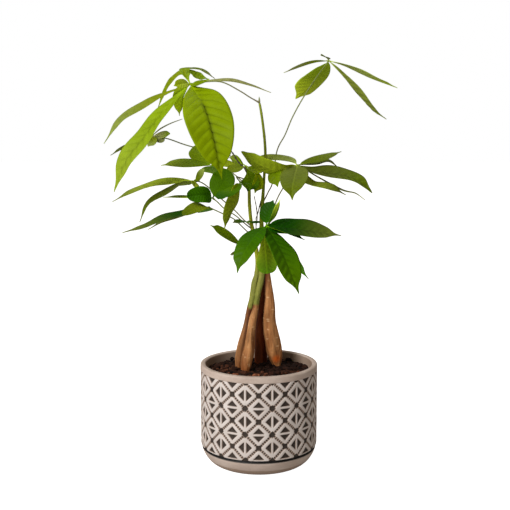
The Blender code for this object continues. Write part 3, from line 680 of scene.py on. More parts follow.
def body_radius(height):
    """The pot's outer radius, straight down to the rounding and then pulled in to the base."""
    fall = np.clip((BASE_ROUNDING - height) / BASE_ROUNDING, 0, 1)
    share = (1 - fall**BASE_FULLNESS) ** (1 / BASE_FULLNESS)
    return BASE_RADIUS + (POT_RADIUS - BASE_RADIUS) * share


def arc(centre, reach, start, end, count=9):
    """Points on a circle's arc, from one angle in degrees to another."""
    turn = np.radians(np.linspace(start, end, count))
    return np.stack([centre[0] + reach * np.cos(turn), centre[1] + reach * np.sin(turn)], axis=1)


def carved(along, height):
    """How deep the lattice is carved at each place, 0 on the pale bands and 1 in the dark cuts.

    Along and height are counted in lattice steps as c and r. Sloping lines run where c + r or
    c - r is odd, as a shallow channel with deeper short stitches across it. Squares and diamonds
    sit where the lines cross, and a split lozenge fills each space between them. The depth is an S
    over the distance to the nearest outline.
    """
    c, r = along / COLUMN_STEP, (TOP_ROW - height) / ROW_STEP + 1
    p, q = c + r, c - r
    p_odd, q_odd = 2 * np.floor(p / 2) + 1, 2 * np.floor(q / 2) + 1
    knot_c, knot_r = (p_odd + q_odd) / 2, (p_odd - q_odd) / 2
    x, z = np.abs(c - knot_c) * COLUMN_STEP, np.abs(r - knot_r) * ROW_STEP
    square = np.maximum(x, z) - SQUARE_HALF
    diamond = (x + z - DIAMOND_HALF) / math.sqrt(2)
    knot = np.where(np.mod(knot_r, 2) == 1, square, diamond)
    p_even, q_even = 2 * np.round(p / 2), 2 * np.round(q / 2)
    middle_c, middle_r = (p_even + q_even) / 2, (p_even - q_even) / 2
    x, z = np.abs(c - middle_c) * COLUMN_STEP, np.abs(r - middle_r) * ROW_STEP
    standing = np.mod(middle_r, 2) == 1
    x, z = np.where(standing, z, x), np.where(standing, x, z)
    rise = TRIANGLE_TIP - BAR_HALF
    slope = x * rise + (z - BAR_HALF) * TRIANGLE_HALF - TRIANGLE_HALF * rise
    lozenge = np.maximum(BAR_HALF - z, slope / math.hypot(rise, TRIANGLE_HALF))
    across = 1 / math.hypot(1 / COLUMN_STEP, 1 / ROW_STEP)
    half_step = math.hypot(COLUMN_STEP, ROW_STEP) / 2
    deep = np.minimum(knot, lozenge)
    shallow = np.full_like(deep, LINE_HALF)
    for near, run, odd in ((p, q, p_odd), (q, p, q_odd)):
        off = np.abs(near - odd) * across
        beat = np.abs(np.mod(run * half_step / TOOTH_PITCH, 1) - 0.5) * TOOTH_PITCH
        deep = np.minimum(deep, np.maximum(off - LINE_HALF, beat - TOOTH_HALF))
        shallow = np.minimum(shallow, off - LINE_HALF)
    cuts = 1 - fade(deep, -EDGE_SOFTNESS, EDGE_SOFTNESS)
    return np.maximum(cuts, LINE_DEPTH * (1 - fade(shallow, -EDGE_SOFTNESS, EDGE_SOFTNESS)))


def make_lattice(material):
    """The carved band: rings of the pot's radius less the carving, closed over a plain back.

    The band's foot is cut away all round, as the upper slope of the groove.
    """
    inner_rows = np.linspace(GROOVE_TOP + EDGE_ROW, LATTICE_TOP - EDGE_ROW, LATTICE_ROWS - 4)
    heights = np.concatenate([[GROOVE_TOP], inner_rows, [LATTICE_TOP]])
    height, turn = np.meshgrid(heights, turns(LATTICE_AROUND), indexing="ij")
    slope = 1 - fade(height, GROOVE_TOP + GROOVE_SLOPE[0], GROOVE_TOP + GROOVE_SLOPE[1])
    cut = np.maximum(carved((turn + math.pi / 2) * POT_RADIUS, height), slope)
    place = np.stack([np.cos(turn) * POT_RADIUS, np.sin(turn) * POT_RADIUS, height], axis=-1)
    radius = body_radius(height) - CARVING_DEPTH * cut - BAND_WOBBLE
    radius += BAND_WOBBLE * waves(place, SEED, 9)
    radius[[0, -1]] -= EDGE_TUCK
    back = np.ones((2, LATTICE_AROUND))
    radius = np.vstack([radius, back * (POT_RADIUS - LATTICE_BACK)])
    height = np.vstack([height, back * [[LATTICE_TOP], [GROOVE_TOP]]])
    turn = np.vstack([turn, turn[:2]])
    points = np.stack([radius * np.cos(turn), radius * np.sin(turn), height], axis=-1)
    quads = grid_faces(len(radius), LATTICE_AROUND, around=True, over=True)
    values = {"carved": np.vstack([cut, back]).ravel()}
    add_piece("pot_lattice", points.reshape(-1, 3), quads, np.empty((0, 3), int), values,
              material, "ceramic", ["pot"])


def make_pot_body(material):
    """The plain pot turned from its section, with a low step behind the carved band.

    Slow random waves pull its wall in by about a tenth of a millimetre at most.
    """
    inside, crown = POT_RADIUS - POT_WALL, POT_HEIGHT - RIM_ROUNDING
    step = POT_RADIUS - CARVING_DEPTH - 0.2
    low = np.linspace(1, 0, 22) ** 1.6 * GROOVE_BOTTOM
    section = np.vstack([
        np.linspace((INNER_RING, POT_FLOOR), (inside - INNER_CORNER, POT_FLOOR), 5),
        arc((inside - INNER_CORNER, POT_FLOOR + INNER_CORNER), INNER_CORNER, -80, 0),
        np.linspace((inside, 20), (inside, crown - 1), 16),
        arc((inside + RIM_ROUNDING, crown), RIM_ROUNDING, 180, 90),
        arc((POT_RADIUS - RIM_ROUNDING, crown), RIM_ROUNDING, 90, 0),
        np.linspace((POT_RADIUS, crown - 1), (POT_RADIUS, LATTICE_TOP + 0.4), 5),
        [(POT_RADIUS - 0.3, LATTICE_TOP + 0.1), (step, LATTICE_TOP + 0.05)],
        np.linspace((step, LATTICE_TOP - 0.3), (step, GROOVE_TOP + 4), 4),
        [(body_radius(GROOVE_TOP) - CARVING_DEPTH, GROOVE_TOP + 0.4),
         (body_radius(GROOVE_BOTTOM) - CARVING_DEPTH, GROOVE_BOTTOM + 0.1),
         (body_radius(GROOVE_BOTTOM) - 0.3, GROOVE_BOTTOM)],
        np.stack([body_radius(low[1:]), low[1:]], axis=1),
        np.linspace((BASE_RADIUS - 1.5, 0), (INNER_RING, 0), 6),
    ])[::-1]
    across, high = section.T
    angle = turns(POT_SIDES)
    spin = np.stack([np.cos(angle), np.sin(angle)], axis=1)
    rings = np.concatenate([
        section[:, None, :1] * spin[None],
        np.broadcast_to(section[:, None, 1:], (len(section), POT_SIDES, 1)),
    ], axis=2)
    on_wall = (high > 1) & (across > inside - 1)
    wobble = POT_WOBBLE * waves(rings, SEED + 1, 34, 3) * on_wall[:, None]
    rings[..., :2] -= np.abs(wobble)[..., None] * spin[None]
    # Near black on the pot body: painted shade in the groove and on the step behind the carved
    # band.
    groove = (across > POT_RADIUS - 4) & (across < POT_RADIUS - 0.25)
    groove &= np.abs(high - GROOVE_TOP) < 2
    hidden = (across > POT_RADIUS - 3) & (across < POT_RADIUS - 1)
    hidden &= (high > GROOVE_TOP - 2) & (high < LATTICE_TOP + 0.2)
    dark = (groove | hidden).astype(float)
    inner = (across < inside + 0.3).astype(float)
    add_rings("pot_body", rings, {"carved": dark, "inner": inner}, material, "ceramic", ["pot"])


def soil_height(x, y):
    """The lumpy top of the soil: crossed waves of different lengths on a low heap."""
    height = SOIL_TOP + SOIL_HEAP * np.exp(-(x**2 + y**2) / HEAP_RADIUS**2)
    for lump, along_x, along_y, shift in SOIL_WAVES:
        height = height + lump * np.sin(along_x * x + along_y * y + shift)
    return height


def scattered(draw, reach, count):
    """Random distances and angles that spread count points evenly over a disc."""
    return reach * np.sqrt(draw.uniform(0, 1, count)), draw.uniform(0, 2 * math.pi, count)


def make_soil(material):
    """The soil's skin: the CAD's low waves with half-round lumps of random width and height on
    them, the highest at each place, and a flat underside."""
    side = POT_RADIUS - POT_WALL - 0.1
    draw = np.random.default_rng(SEED + 2)
    radii = side * np.linspace(0.02, 1, SOIL_RINGS) ** 0.85
    angle = turns(SOIL_SIDES)
    x, y = radii[:, None] * np.cos(angle), radii[:, None] * np.sin(angle)
    reach, turn = scattered(draw, side, LUMPS)
    size, rise = draw.uniform(*LUMP_WIDTHS, LUMPS), draw.uniform(*LUMP_SHARES, LUMPS)
    lumps = np.zeros_like(x)
    for cx, cy, wide, high in zip(reach * np.cos(turn), reach * np.sin(turn), size, rise):
        near = ((x - cx) ** 2 + (y - cy) ** 2) / wide**2
        dome = np.sqrt(np.clip(1 - near, 0, 1))
        lumps = np.maximum(lumps, high * wide * dome * LUMP_HEIGHT)
    top = np.stack([x, y, soil_height(x, y) - 0.6 + lumps], axis=-1)
    edge = top[-1:] * (1, 1, 0) + (0, 0, SOIL_UNDERSIDE)
    rings = np.concatenate([top, edge, edge * (0.1, 0.1, 1)])[::-1]
    values = {"rise": np.pad(lumps, ((0, 2), (0, 0)))[::-1]}
    add_rings("soil_top", rings, values, material, "earth", ["soil"])


def make_crumbs(material):
    """Loose crumbs and bark chips on the soil: twelve-cornered lumps, stretched, turned and
    shaded at random. The first of them lie round the stems' feet."""
    draw = np.random.default_rng(SEED + 3)
    golden = (1 + math.sqrt(5)) / 2
    corners = np.array([
        (-1, golden, 0), (1, golden, 0), (-1, -golden, 0), (1, -golden, 0),
        (0, -1, golden), (0, 1, golden), (0, -1, -golden), (0, 1, -golden),
        (golden, 0, -1), (golden, 0, 1), (-golden, 0, -1), (-golden, 0, 1),
    ]) / math.hypot(1, golden)
    sides = np.array([
        (0, 11, 5), (0, 5, 1), (0, 1, 7), (0, 7, 10), (0, 10, 11), (1, 5, 9), (5, 11, 4),
        (11, 10, 2), (10, 7, 6), (7, 1, 8), (3, 9, 4), (3, 4, 2), (3, 2, 6), (3, 6, 8),
        (3, 8, 9), (4, 9, 5), (2, 4, 11), (6, 2, 10), (8, 6, 7), (9, 8, 1),
    ])
    reach, turn = scattered(draw, POT_RADIUS - POT_WALL - 3.5, CRUMBS)
    x, y = reach * np.cos(turn), reach * np.sin(turn)
    feet = np.array([stem[2] for stem in STEMS.values()], float).repeat(FOOT_CRUMBS, axis=0)
    count = len(feet)
    x[:count] = feet[:, 0] + (feet[:, 3] + 0.9) * np.cos(turn[:count])
    y[:count] = feet[:, 1] + (feet[:, 3] + 0.9) * np.sin(turn[:count])
    size = CRUMB_SIZES[0] + CRUMB_SIZES[1] * draw.uniform(0, 1, CRUMBS) ** 2.2
    stretch = draw.uniform(0.55, 1.5, (CRUMBS, 1, 3)) * (1, 1, 0.62)
    shape = corners[None] * draw.uniform(0.75, 1.2, (CRUMBS, 12, 1)) * stretch
    a, b, c = np.moveaxis(shape * size[:, None, None], 2, 0)
    spin = draw.uniform(0, 2 * math.pi, CRUMBS)
    cos, sin = np.cos(spin)[:, None], np.sin(spin)[:, None]
    turned = np.stack([a * cos - b * sin, a * sin + b * cos, c], axis=-1)
    places = np.stack([x, y, soil_height(x, y) - 0.1 + 0.3 * size], axis=1)
    points = (turned + places[:, None]).reshape(-1, 3)
    tris = (sides[None] + 12 * np.arange(CRUMBS)[:, None, None]).reshape(-1, 3)
    brown = 0.04 + sum(
        share * np.exp(-((x - cx) ** 2 + (y - cy) ** 2) / wide**2)
        for cx, cy, wide, share in BROWN_SPOTS
    )
    shade = np.repeat(draw.uniform(0.2, 1, CRUMBS) ** 1.5 * np.clip(brown, 0, 1), 12)
    piece = add_piece("soil_crumbs", points, np.empty((0, 4), int), tris, {"rise": shade},
                      material, "earth")
    piece.data.shade_flat()


def stem_fullness(name, radii, angle, reach):
    """How much wider or narrower a stem is at each place than its plain radius, as a share.

    Long shallow ribs run up the bark, slow waves make it uneven, and a low ring marks each old
    leaf scar on the thin upper part.
    """
    seed = SEED + 10 + sorted(STEMS).index(name)
    grid = np.broadcast_arrays(np.cos(angle) * 9, np.sin(angle) * 9, reach[:, None])
    place = np.stack(grid, axis=-1)
    thick = fade(radii, 2.0, 4.5)[:, None]
    ribs = waves(place * (1, 1, 0.12), seed, 9, 3)
    slow = waves(place * (0.5, 0.5, 0.5), seed + 20, 22, 2)
    scars = np.exp(-((np.mod(reach, SCAR_STEP) - 11) / SCAR_WIDTH) ** 2)[:, None]
    bark = (RIBS[0] + RIBS[1] * thick) * ribs + (SLOW_WAVES[0] + SLOW_WAVES[1] * thick) * slow
    return bark + SCARS * scars * (1 - thick)


def gap_shade(name, rings):
    """How deep points lie between the stems, for the painted shade there: 1 where they touch
    another stem, and 0 further off than the shade reaches."""
    flat = rings.reshape(-1, 3)
    near = np.full(len(flat), 99.0)
    for other in STEMS:
        if other != name:
            route = even_route(STEMS[other], 160)
            gap = np.linalg.norm(flat[:, None] - route[None, :, :3], axis=2) - route[:, 3]
            near = np.minimum(near, gap.min(axis=1))
    return (1 - fade(near, 0.3, GAP_SHADE_REACH)).reshape(rings.shape[:2])


def make_stem(name, material):
    """A trunk that runs up into its stem: rings whose radius is the CAD's, times its fullness,
    a little swollen in the green part and rounded off at the tip."""
    rows = np.asarray(STEMS[name], float)
    route = even_route(rows, int(lengths(rows)[-1] / STEM_STEP))
    place, radii = route[:, :3], route[:, 3]
    reach, height = lengths(place), place[:, 2]
    full = 1 + stem_fullness(name, radii, turns(STEM_SIDES), reach)
    swell = 1 + STEM_SWELL * fade(height, 140, 165)
    end = np.sqrt(np.clip(1 - ((reach - reach[-1] + 2) / 2.2).clip(0, 1) ** 2, 0.02, 1))
    rings = tube_rings(place, radii[:, None] * full * (swell * end)[:, None], STEM_SIDES)
    lit_share, light, start, length = STEM_LOOKS[name]
    values = {
        "green": fade(height, start - length / 2, start + length / 2),
        "ridge": full - 1,
        "tall": height,
        # Painted light: the stem's share of light and its bark's brightness factor.
        "lit_share": np.full(len(route), lit_share),
        "light": np.full(len(route), light),
        # Painted shade where the stem comes near another.
        "gap_shade": gap_shade(name, rings),
    }
    add_rings(name + "_bark", rings, values, material, "bark", [name])


def blade(hub, rib, width, face, widest, fullness, tone):
    """One leaflet as rings across its blade, with the values that its material reads.

    The rib is a smooth curve from the hub to the tip. The half width is a product of two powers,
    one growing from the base and one closing at the tip, thinned to a drip tip at the end. Across
    the blade the surface rises to both edges, swells between the side veins and waves at the
    edge, and a ring takes the upper side out and the lower side back. No point comes further
    forward than the front limit.
    """
    middle = even_route(np.vstack([hub, rib]), BLADE_ROWS)
    length = lengths(middle)[-1]
    u = np.linspace(0, 1, BLADE_ROWS)
    start = min(PETIOLULE / length, 0.2)
    place = np.clip((u - start) / (1 - start), 0, 1)
    swell = (place / widest) ** (widest / (1 - widest)) * ((1 - place) / (1 - widest))
    swell = swell ** (FULLNESS * fullness)
    swell *= 1 - DRIP_TIP * fade(place, 0.80, 0.95) * fade(fullness, 0.5, 0.85)
    half = np.maximum(width / 2 * swell, 0.55 - 0.35 * u)
    along = unit(np.gradient(middle, axis=0))
    face = np.asarray(face, float)
    up = unit(face - along * (along @ face)[:, None])
    side = np.cross(along, up)

    v = np.linspace(-1, 1, BLADE_ACROSS)
    v = np.sign(v) * np.abs(v) ** 1.15
    out = v[None, :] * half[:, None]
    off = np.abs(out)
    edge = np.abs(v)[None, :] + 0 * out
    spacing = np.clip(length / SIDE_VEINS, *VEIN_ROOM)
    phase = (u[:, None] * length - 0.5 * off - 0.28 * off * edge) / spacing + 0.5 * (v > 0)
    body = fade(half, 1.5, 5.0)[:, None]
    lift = FOLD * half[:, None] * edge**1.3
    pillow = PILLOW * spacing * np.cos(2 * math.pi * phase) * fade(edge, 0.05, 0.3)
    pillow = pillow * (1 - edge**3) * body
    shift = int(abs(hub[0] * 7 + rib[-1][0] * 13 + rib[-1][2] * 3))
    ripple = np.sin(u[:, None] * length / RIPPLE_STEP + shift + 1.7 * (v > 0))
    level = lift + pillow + RIPPLE * half[:, None] * edge**2 * ripple
    groove = RIB_GROOVE[0] * np.exp(-((off / RIB_GROOVE[1]) ** 2)) * body
    keel = RIB_KEEL[0] * np.exp(-((off / RIB_KEEL[1]) ** 2)) * (1 - 0.6 * u)[:, None]
    wall = BLADE_THICKNESS / 2 * (1 - 0.55 * edge**2)
    sheet = middle[:, None] + out[..., None] * side[:, None]
    upper = sheet + (level + wall - groove)[..., None] * up[:, None]
    lower = sheet + (level - wall - keel)[..., None] * up[:, None]
    rings = np.concatenate([lower[:, ::-1], upper], axis=1)
    rings[..., 1] = np.maximum(rings[..., 1], FRONT_LIMIT)

    def both(below, above):
        """Values on the blade's lower and upper side, as an attribute of its rings."""
        return over_rings(np.concatenate([below[:, ::-1], above], axis=1))

    base, tip, rib_pale_and_shade = tone
    mix = fade(place, 0.25, 1.0)[:, None, None]
    tint = colour(GREENS[base]) * (1 - mix) + colour(GREENS[tip]) * mix
    tint = tint.repeat(2 * BLADE_ACROSS, axis=1)
    run = place[:, None] + 0 * out
    values = {
        "tint": over_rings(tint),
        "vein": both(phase, phase),
        "rib": both(off, off),
        "edge": both(edge, edge),
        "under": both(np.ones_like(out), np.zeros_like(out)),
        "rib_pale_and_shade": over_rings(np.full(tint.shape[:2], rib_pale_and_shade)),
        "run": both(run, run),
    }
    return *closed_rings(rings), values


def make_leaf(name, leaf_material, stalk_material):
    """A compound leaf: its blades as one piece, and its stalk as another, a tube that is thicker
    at its foot and swells into a round hub at its end."""
    stalk = LEAVES[name]["stalk"]
    blades = []
    for row, tone in zip(LEAVES[name]["leaflets"], TONES[name]):
        rib, width, face, widest, fullness = (*row, *USUAL_SHAPE[len(row) - 3:])
        blades.append(blade(stalk[-1], rib, width, face, widest, fullness, tone))
    add_piece(name + "_blades", *joined(blades), leaf_material, "foliage", [name])
    rows = lengths(np.asarray(stalk, float))[-1] / STALK_STEP
    route = even_route(stalk, max(24, int(rows)))
    reach = lengths(route)
    left = reach[-1] - reach
    radii = STALK_RADIUS * (1 + 0.7 * np.exp(-((reach / 4) ** 2)))
    radii = (radii + 0.75 * np.exp(-((left / 1.8) ** 2))) * np.sqrt(np.clip(left / 0.8, 0.05, 1))
    values = {"share": reach / reach[-1]}
    rings = tube_rings(route, radii, STALK_SIDES)
    add_rings(name + "_stalk", rings, values, stalk_material, "foliage", [name])


def make_twig(name, points, radii, material):
    """A thin dry twig with small swollen nodes."""
    route = even_route(np.c_[np.asarray(points, float), radii], 60)
    reach = lengths(route)
    knots = 1 + 0.5 * np.exp(-((np.mod(reach, 5.5) - 2.5) / 0.6) ** 2)
    rings = tube_rings(route[:, :3], route[:, 3] * knots, TWIG_SIDES)
    add_rings(name, rings, {"share": reach / reach[-1]}, material, "bark")


def make_bud(name, base, tip, radius, material):
    """A pointed bud: rings that swell from the base and close at the tip."""
    u = np.linspace(0, 1, BUD_ROWS)
    radii = radius * np.sin(np.pi * (0.16 + 0.84 * u)) ** 0.8 * (1 - 0.35 * u) + 0.05
    rings = tube_rings(np.linspace(base, tip, BUD_ROWS), radii, BUD_SIDES)
    add_rings(name, rings, {"share": u}, material, "foliage")


class Wiring:
    """A shader node tree being wired. Each method after feed adds nodes and gives back the
    output of the last."""

    def __init__(self, tree, groups=None):
        self.tree = tree
        self.groups = groups

    def feed(self, node, inputs):
        """Gives a node's inputs plain values or other nodes' outputs."""
        for key, value in inputs.items():
            if isinstance(value, bpy.types.NodeSocket):
                self.tree.links.new(value, node.inputs[key])
            else:
                node.inputs[key].default_value = value

    def add(self, kind, inputs, output=0, **settings):
        """One node with its inputs and settings."""
        node = self.tree.nodes.new(kind)
        for key, value in settings.items():
            setattr(node, key, value)
        self.feed(node, inputs)
        return node.outputs[output]

    def calculate(self, operation, *numbers):
        """One step of arithmetic."""
        return self.add("ShaderNodeMath", dict(enumerate(numbers)), operation=operation)

    def times(self, first, second):
        """The product of two numbers."""
        return self.calculate("MULTIPLY", first, second)

    def times_plus(self, first, second, third):
        """The product of two numbers, plus a third."""
        return self.calculate("MULTIPLY_ADD", first, second, third)

    def remap(self, value, low, high, new_low=0.0, new_high=1.0):
        """A number moved from one range to another, and held inside it."""
        inputs = {"Value": value, "From Min": low, "From Max": high}
        inputs.update({"To Min": new_low, "To Max": new_high})
        return self.add("ShaderNodeMapRange", inputs, "Result")

    def spread(self, value, low, high):
        """A number from 0 to 1 moved to another range."""
        return self.remap(value, 0.0, 1.0, low, high)

    def blend(self, factor, first, second):
        """Two colours mixed, each another node's output or given in 0-255 steps."""
        inputs = {0: factor}
        for key, part in ((6, first), (7, second)):
            given = isinstance(part, tuple)
            inputs[key] = (*colour(part), 1.0) if given else part
        return self.add("ShaderNodeMix", inputs, 2, data_type="RGBA")

    def brightened(self, base, factor):
        """A colour times a number."""
        grey = self.add("ShaderNodeCombineColor", dict.fromkeys(("Red", "Green", "Blue"), factor))
        inputs = {0: 1.0, 6: base, 7: grey}
        return self.add("ShaderNodeMix", inputs, 2, data_type="RGBA", blend_type="MULTIPLY")

    def read(self, name, output="Fac"):
        """One of the piece's own attributes."""
        return self.add("ShaderNodeAttribute", {}, output, attribute_name=name)

    def place(self):
        """Each point's place in the piece's own coordinates, in metres."""
        return self.add("ShaderNodeTexCoord", {}, "Object")

    def camera_ray(self):
        """1 where the camera looks straight at something, and 0 for light on its way."""
        return self.add("ShaderNodeLightPath", {}, "Is Camera Ray")

    def mottle(self, size, upright=1.0):
        """The value of the mottle group."""
        inputs = {"Size": size, "Upright": upright}
        return self.add("ShaderNodeGroup", inputs, node_tree=self.groups["mottle"])

    def relief(self, size, depth, height=0.0):
        """The normal of the relief group."""
        inputs = {"Size": size, "Depth": depth, "Height": height}
        return self.add("ShaderNodeGroup", inputs, node_tree=self.groups["relief"])


def new_group(name, inputs, output, kind):
    """An empty node group with numbers going in and one thing coming out, and its end nodes."""
    tree = bpy.data.node_groups.new(name, "ShaderNodeTree")
    for socket in inputs:
        tree.interface.new_socket(socket, in_out="INPUT", socket_type="NodeSocketFloat")
    tree.interface.new_socket(output, in_out="OUTPUT", socket_type=kind)
    start, end = tree.nodes.new("NodeGroupInput"), tree.nodes.new("NodeGroupOutput")
    return tree, Wiring(tree), start.outputs, end


def make_mottle_group():
    """Uneven patches, as a value from 0 to 1 round 0.5.

    Size is in waves a metre. Upright below 1 draws the patches out upwards, and above 1 it
    flattens them.
    """
    tree, wiring, given, end = new_group("mottle", ("Size", "Upright"), "Value", "NodeSocketFloat")
    squeeze = wiring.add("ShaderNodeCombineXYZ", {"X": 1.0, "Y": 1.0, "Z": given["Upright"]})
    inputs = {0: wiring.place(), 1: squeeze}
    place = wiring.add("ShaderNodeVectorMath", inputs, operation="MULTIPLY")
    inputs = {"Vector": place, "Scale": given["Size"], "Detail": 4.0, "Roughness": 0.6}
    noise = wiring.add("ShaderNodeTexNoise", inputs, "Fac")
    wiring.feed(end, {"Value": wiring.remap(noise, 0.28, 0.72)})
    return tree


def make_relief_group():
    """A fine uneven surface: a bump normal from noise of the given size and depth, added to a
    given height. Heights are in millimetres."""
    sockets = ("Size", "Depth", "Height")
    tree, wiring, given, end = new_group("fine_relief", sockets, "Normal", "NodeSocketVector")
    place = wiring.place()
    inputs = {"Vector": place, "Scale": given["Size"], "Detail": 5.0, "Roughness": 0.62}
    noise = wiring.add("ShaderNodeTexNoise", inputs, "Fac")
    height = wiring.times(noise, given["Depth"])
    height = wiring.calculate("ADD", height, given["Height"])
    inputs = {"Strength": 1.0, "Distance": MM, "Height": height}
    wiring.feed(end, {"Normal": wiring.add("ShaderNodeBump", inputs, "Normal")})
    return tree


def new_material(name, specular, roughness, groups=None):
    """A material, its wiring and its shader."""
    material = bpy.data.materials.new(name)
    material.use_nodes = True
    shader = material.node_tree.nodes["Principled BSDF"]
    shader.inputs["Specular IOR Level"].default_value = specular
    shader.inputs["Roughness"].default_value = roughness
    return material, Wiring(material.node_tree, groups), shader


def make_leaf_material(groups):
    """Blade: the leaflet's own tint, mottled, with a midrib, side veins in dark creases of painted
    shade, a paler base and a paler, duller underside, also painted brighter for light through the
    leaf. A dark midrib starts pale and has a darker band beside it, both painted shade of the
    midrib's fold. A net of fine veins stands on the upper side."""
    material, wiring, shader = new_material("leaf_blade", 0.05, 0.45, groups)
    rib_pale_and_shade, under = wiring.read("rib_pale_and_shade"), wiring.read("under")
    edge, off_rib, run = wiring.read("edge"), wiring.read("rib"), wiring.read("run")
    patches, specks = wiring.mottle(55.0), wiring.mottle(420.0)
    turn = wiring.calculate("FRACT", wiring.read("vein"))
    off_vein = wiring.calculate("ABSOLUTE", wiring.calculate("SUBTRACT", turn, 0.5))

    factor = wiring.times(wiring.spread(patches, 0.88, 1.12), wiring.spread(specks, 0.95, 1.05))
    # Painted shade in the creases along the side veins.
    crease_shade = wiring.remap(off_vein, 0.0, 0.26, 1.0, 0.0)
    crease_shade = wiring.times(crease_shade, wiring.remap(edge, 0.1, 0.9, 1.0, 0.0))
    factor = wiring.times_plus(crease_shade, -0.2, factor)

    begun = wiring.remap(run, 0.2, 0.36)
    ends = wiring.remap(run, 0.7, 1.0, 1.0, 0.3)
    # A dark midrib and the band next to it are painted shade of the midrib's fold.
    rib_shade = wiring.calculate("MINIMUM", rib_pale_and_shade, 0.0)
    rib_shade = wiring.times(rib_shade, wiring.times(begun, ends))
    beside = wiring.times(wiring.remap(off_rib, 0.8, 3.4, 1.0, 0.0), rib_shade)
    factor = wiring.times_plus(beside, 0.9, factor)

    pale_rib = wiring.calculate("MAXIMUM", rib_pale_and_shade, 0.0)
    rib_tone = wiring.times_plus(rib_shade, 0.7, pale_rib)
    rib_tone = wiring.times_plus(rib_tone, 1.1, wiring.remap(run, 0.2, 0.36, 0.14, 0.0))
    factor = wiring.times_plus(wiring.remap(off_rib, 0.35, 1.15, 1.0, 0.0), rib_tone, factor)
    factor = wiring.calculate("ADD", factor, wiring.remap(run, 0.0, 0.12, 0.45, 0.0))

    # The side veins are paler with a pale rib and darker with a rib's painted shade.
    vein = wiring.remap(off_vein, 0.0, 0.085, 1.0, 0.0)
    vein = wiring.times(vein, wiring.remap(edge, 0.8, 1.0, 1.0, 0.0))
    factor = wiring.times_plus(vein, wiring.times_plus(rib_pale_and_shade, 0.6, 0.04), factor)
    # The underside is paler in its own colour and painted brighter still, for light through the
    # leaf.
    factor = wiring.times(factor, wiring.times_plus(under, 1.4, 1.0))
    tinted = wiring.brightened(wiring.read("tint", "Color"), factor)

    inputs = {"Vector": wiring.place(), "Scale": 520.0}
    net = wiring.add("ShaderNodeTexVoronoi", inputs, "Distance", feature="DISTANCE_TO_EDGE")
    net = wiring.remap(net, 0.0, 0.12, 0.0, 0.003)
    net = wiring.times(net, wiring.calculate("SUBTRACT", 1.0, under))
    wiring.feed(shader, {
        "Base Color": wiring.blend(wiring.times(under, 0.08), tinted, (150, 156, 84)),
        "Roughness": wiring.times_plus(under, 0.12, wiring.spread(specks, 0.38, 0.52)),
        "Normal": wiring.relief(500.0, 0.002, net),
    })
    return material


def make_stalk_material(groups):
    """Stalk: brownish green at its foot and fresher at its end, mottled."""
    material, wiring, shader = new_material("leaf_stalk", 0.25, 0.5, groups)
    patches = wiring.mottle(260.0)
    green = wiring.blend(wiring.read("share"), (142, 134, 104), (126, 144, 62))
    wiring.feed(shader, {
        "Base Color": wiring.brightened(green, wiring.spread(patches, 0.8, 1.15)),
        "Roughness": wiring.spread(patches, 0.42, 0.6),
        "Normal": wiring.relief(1500.0, 0.06),
    })
    return material


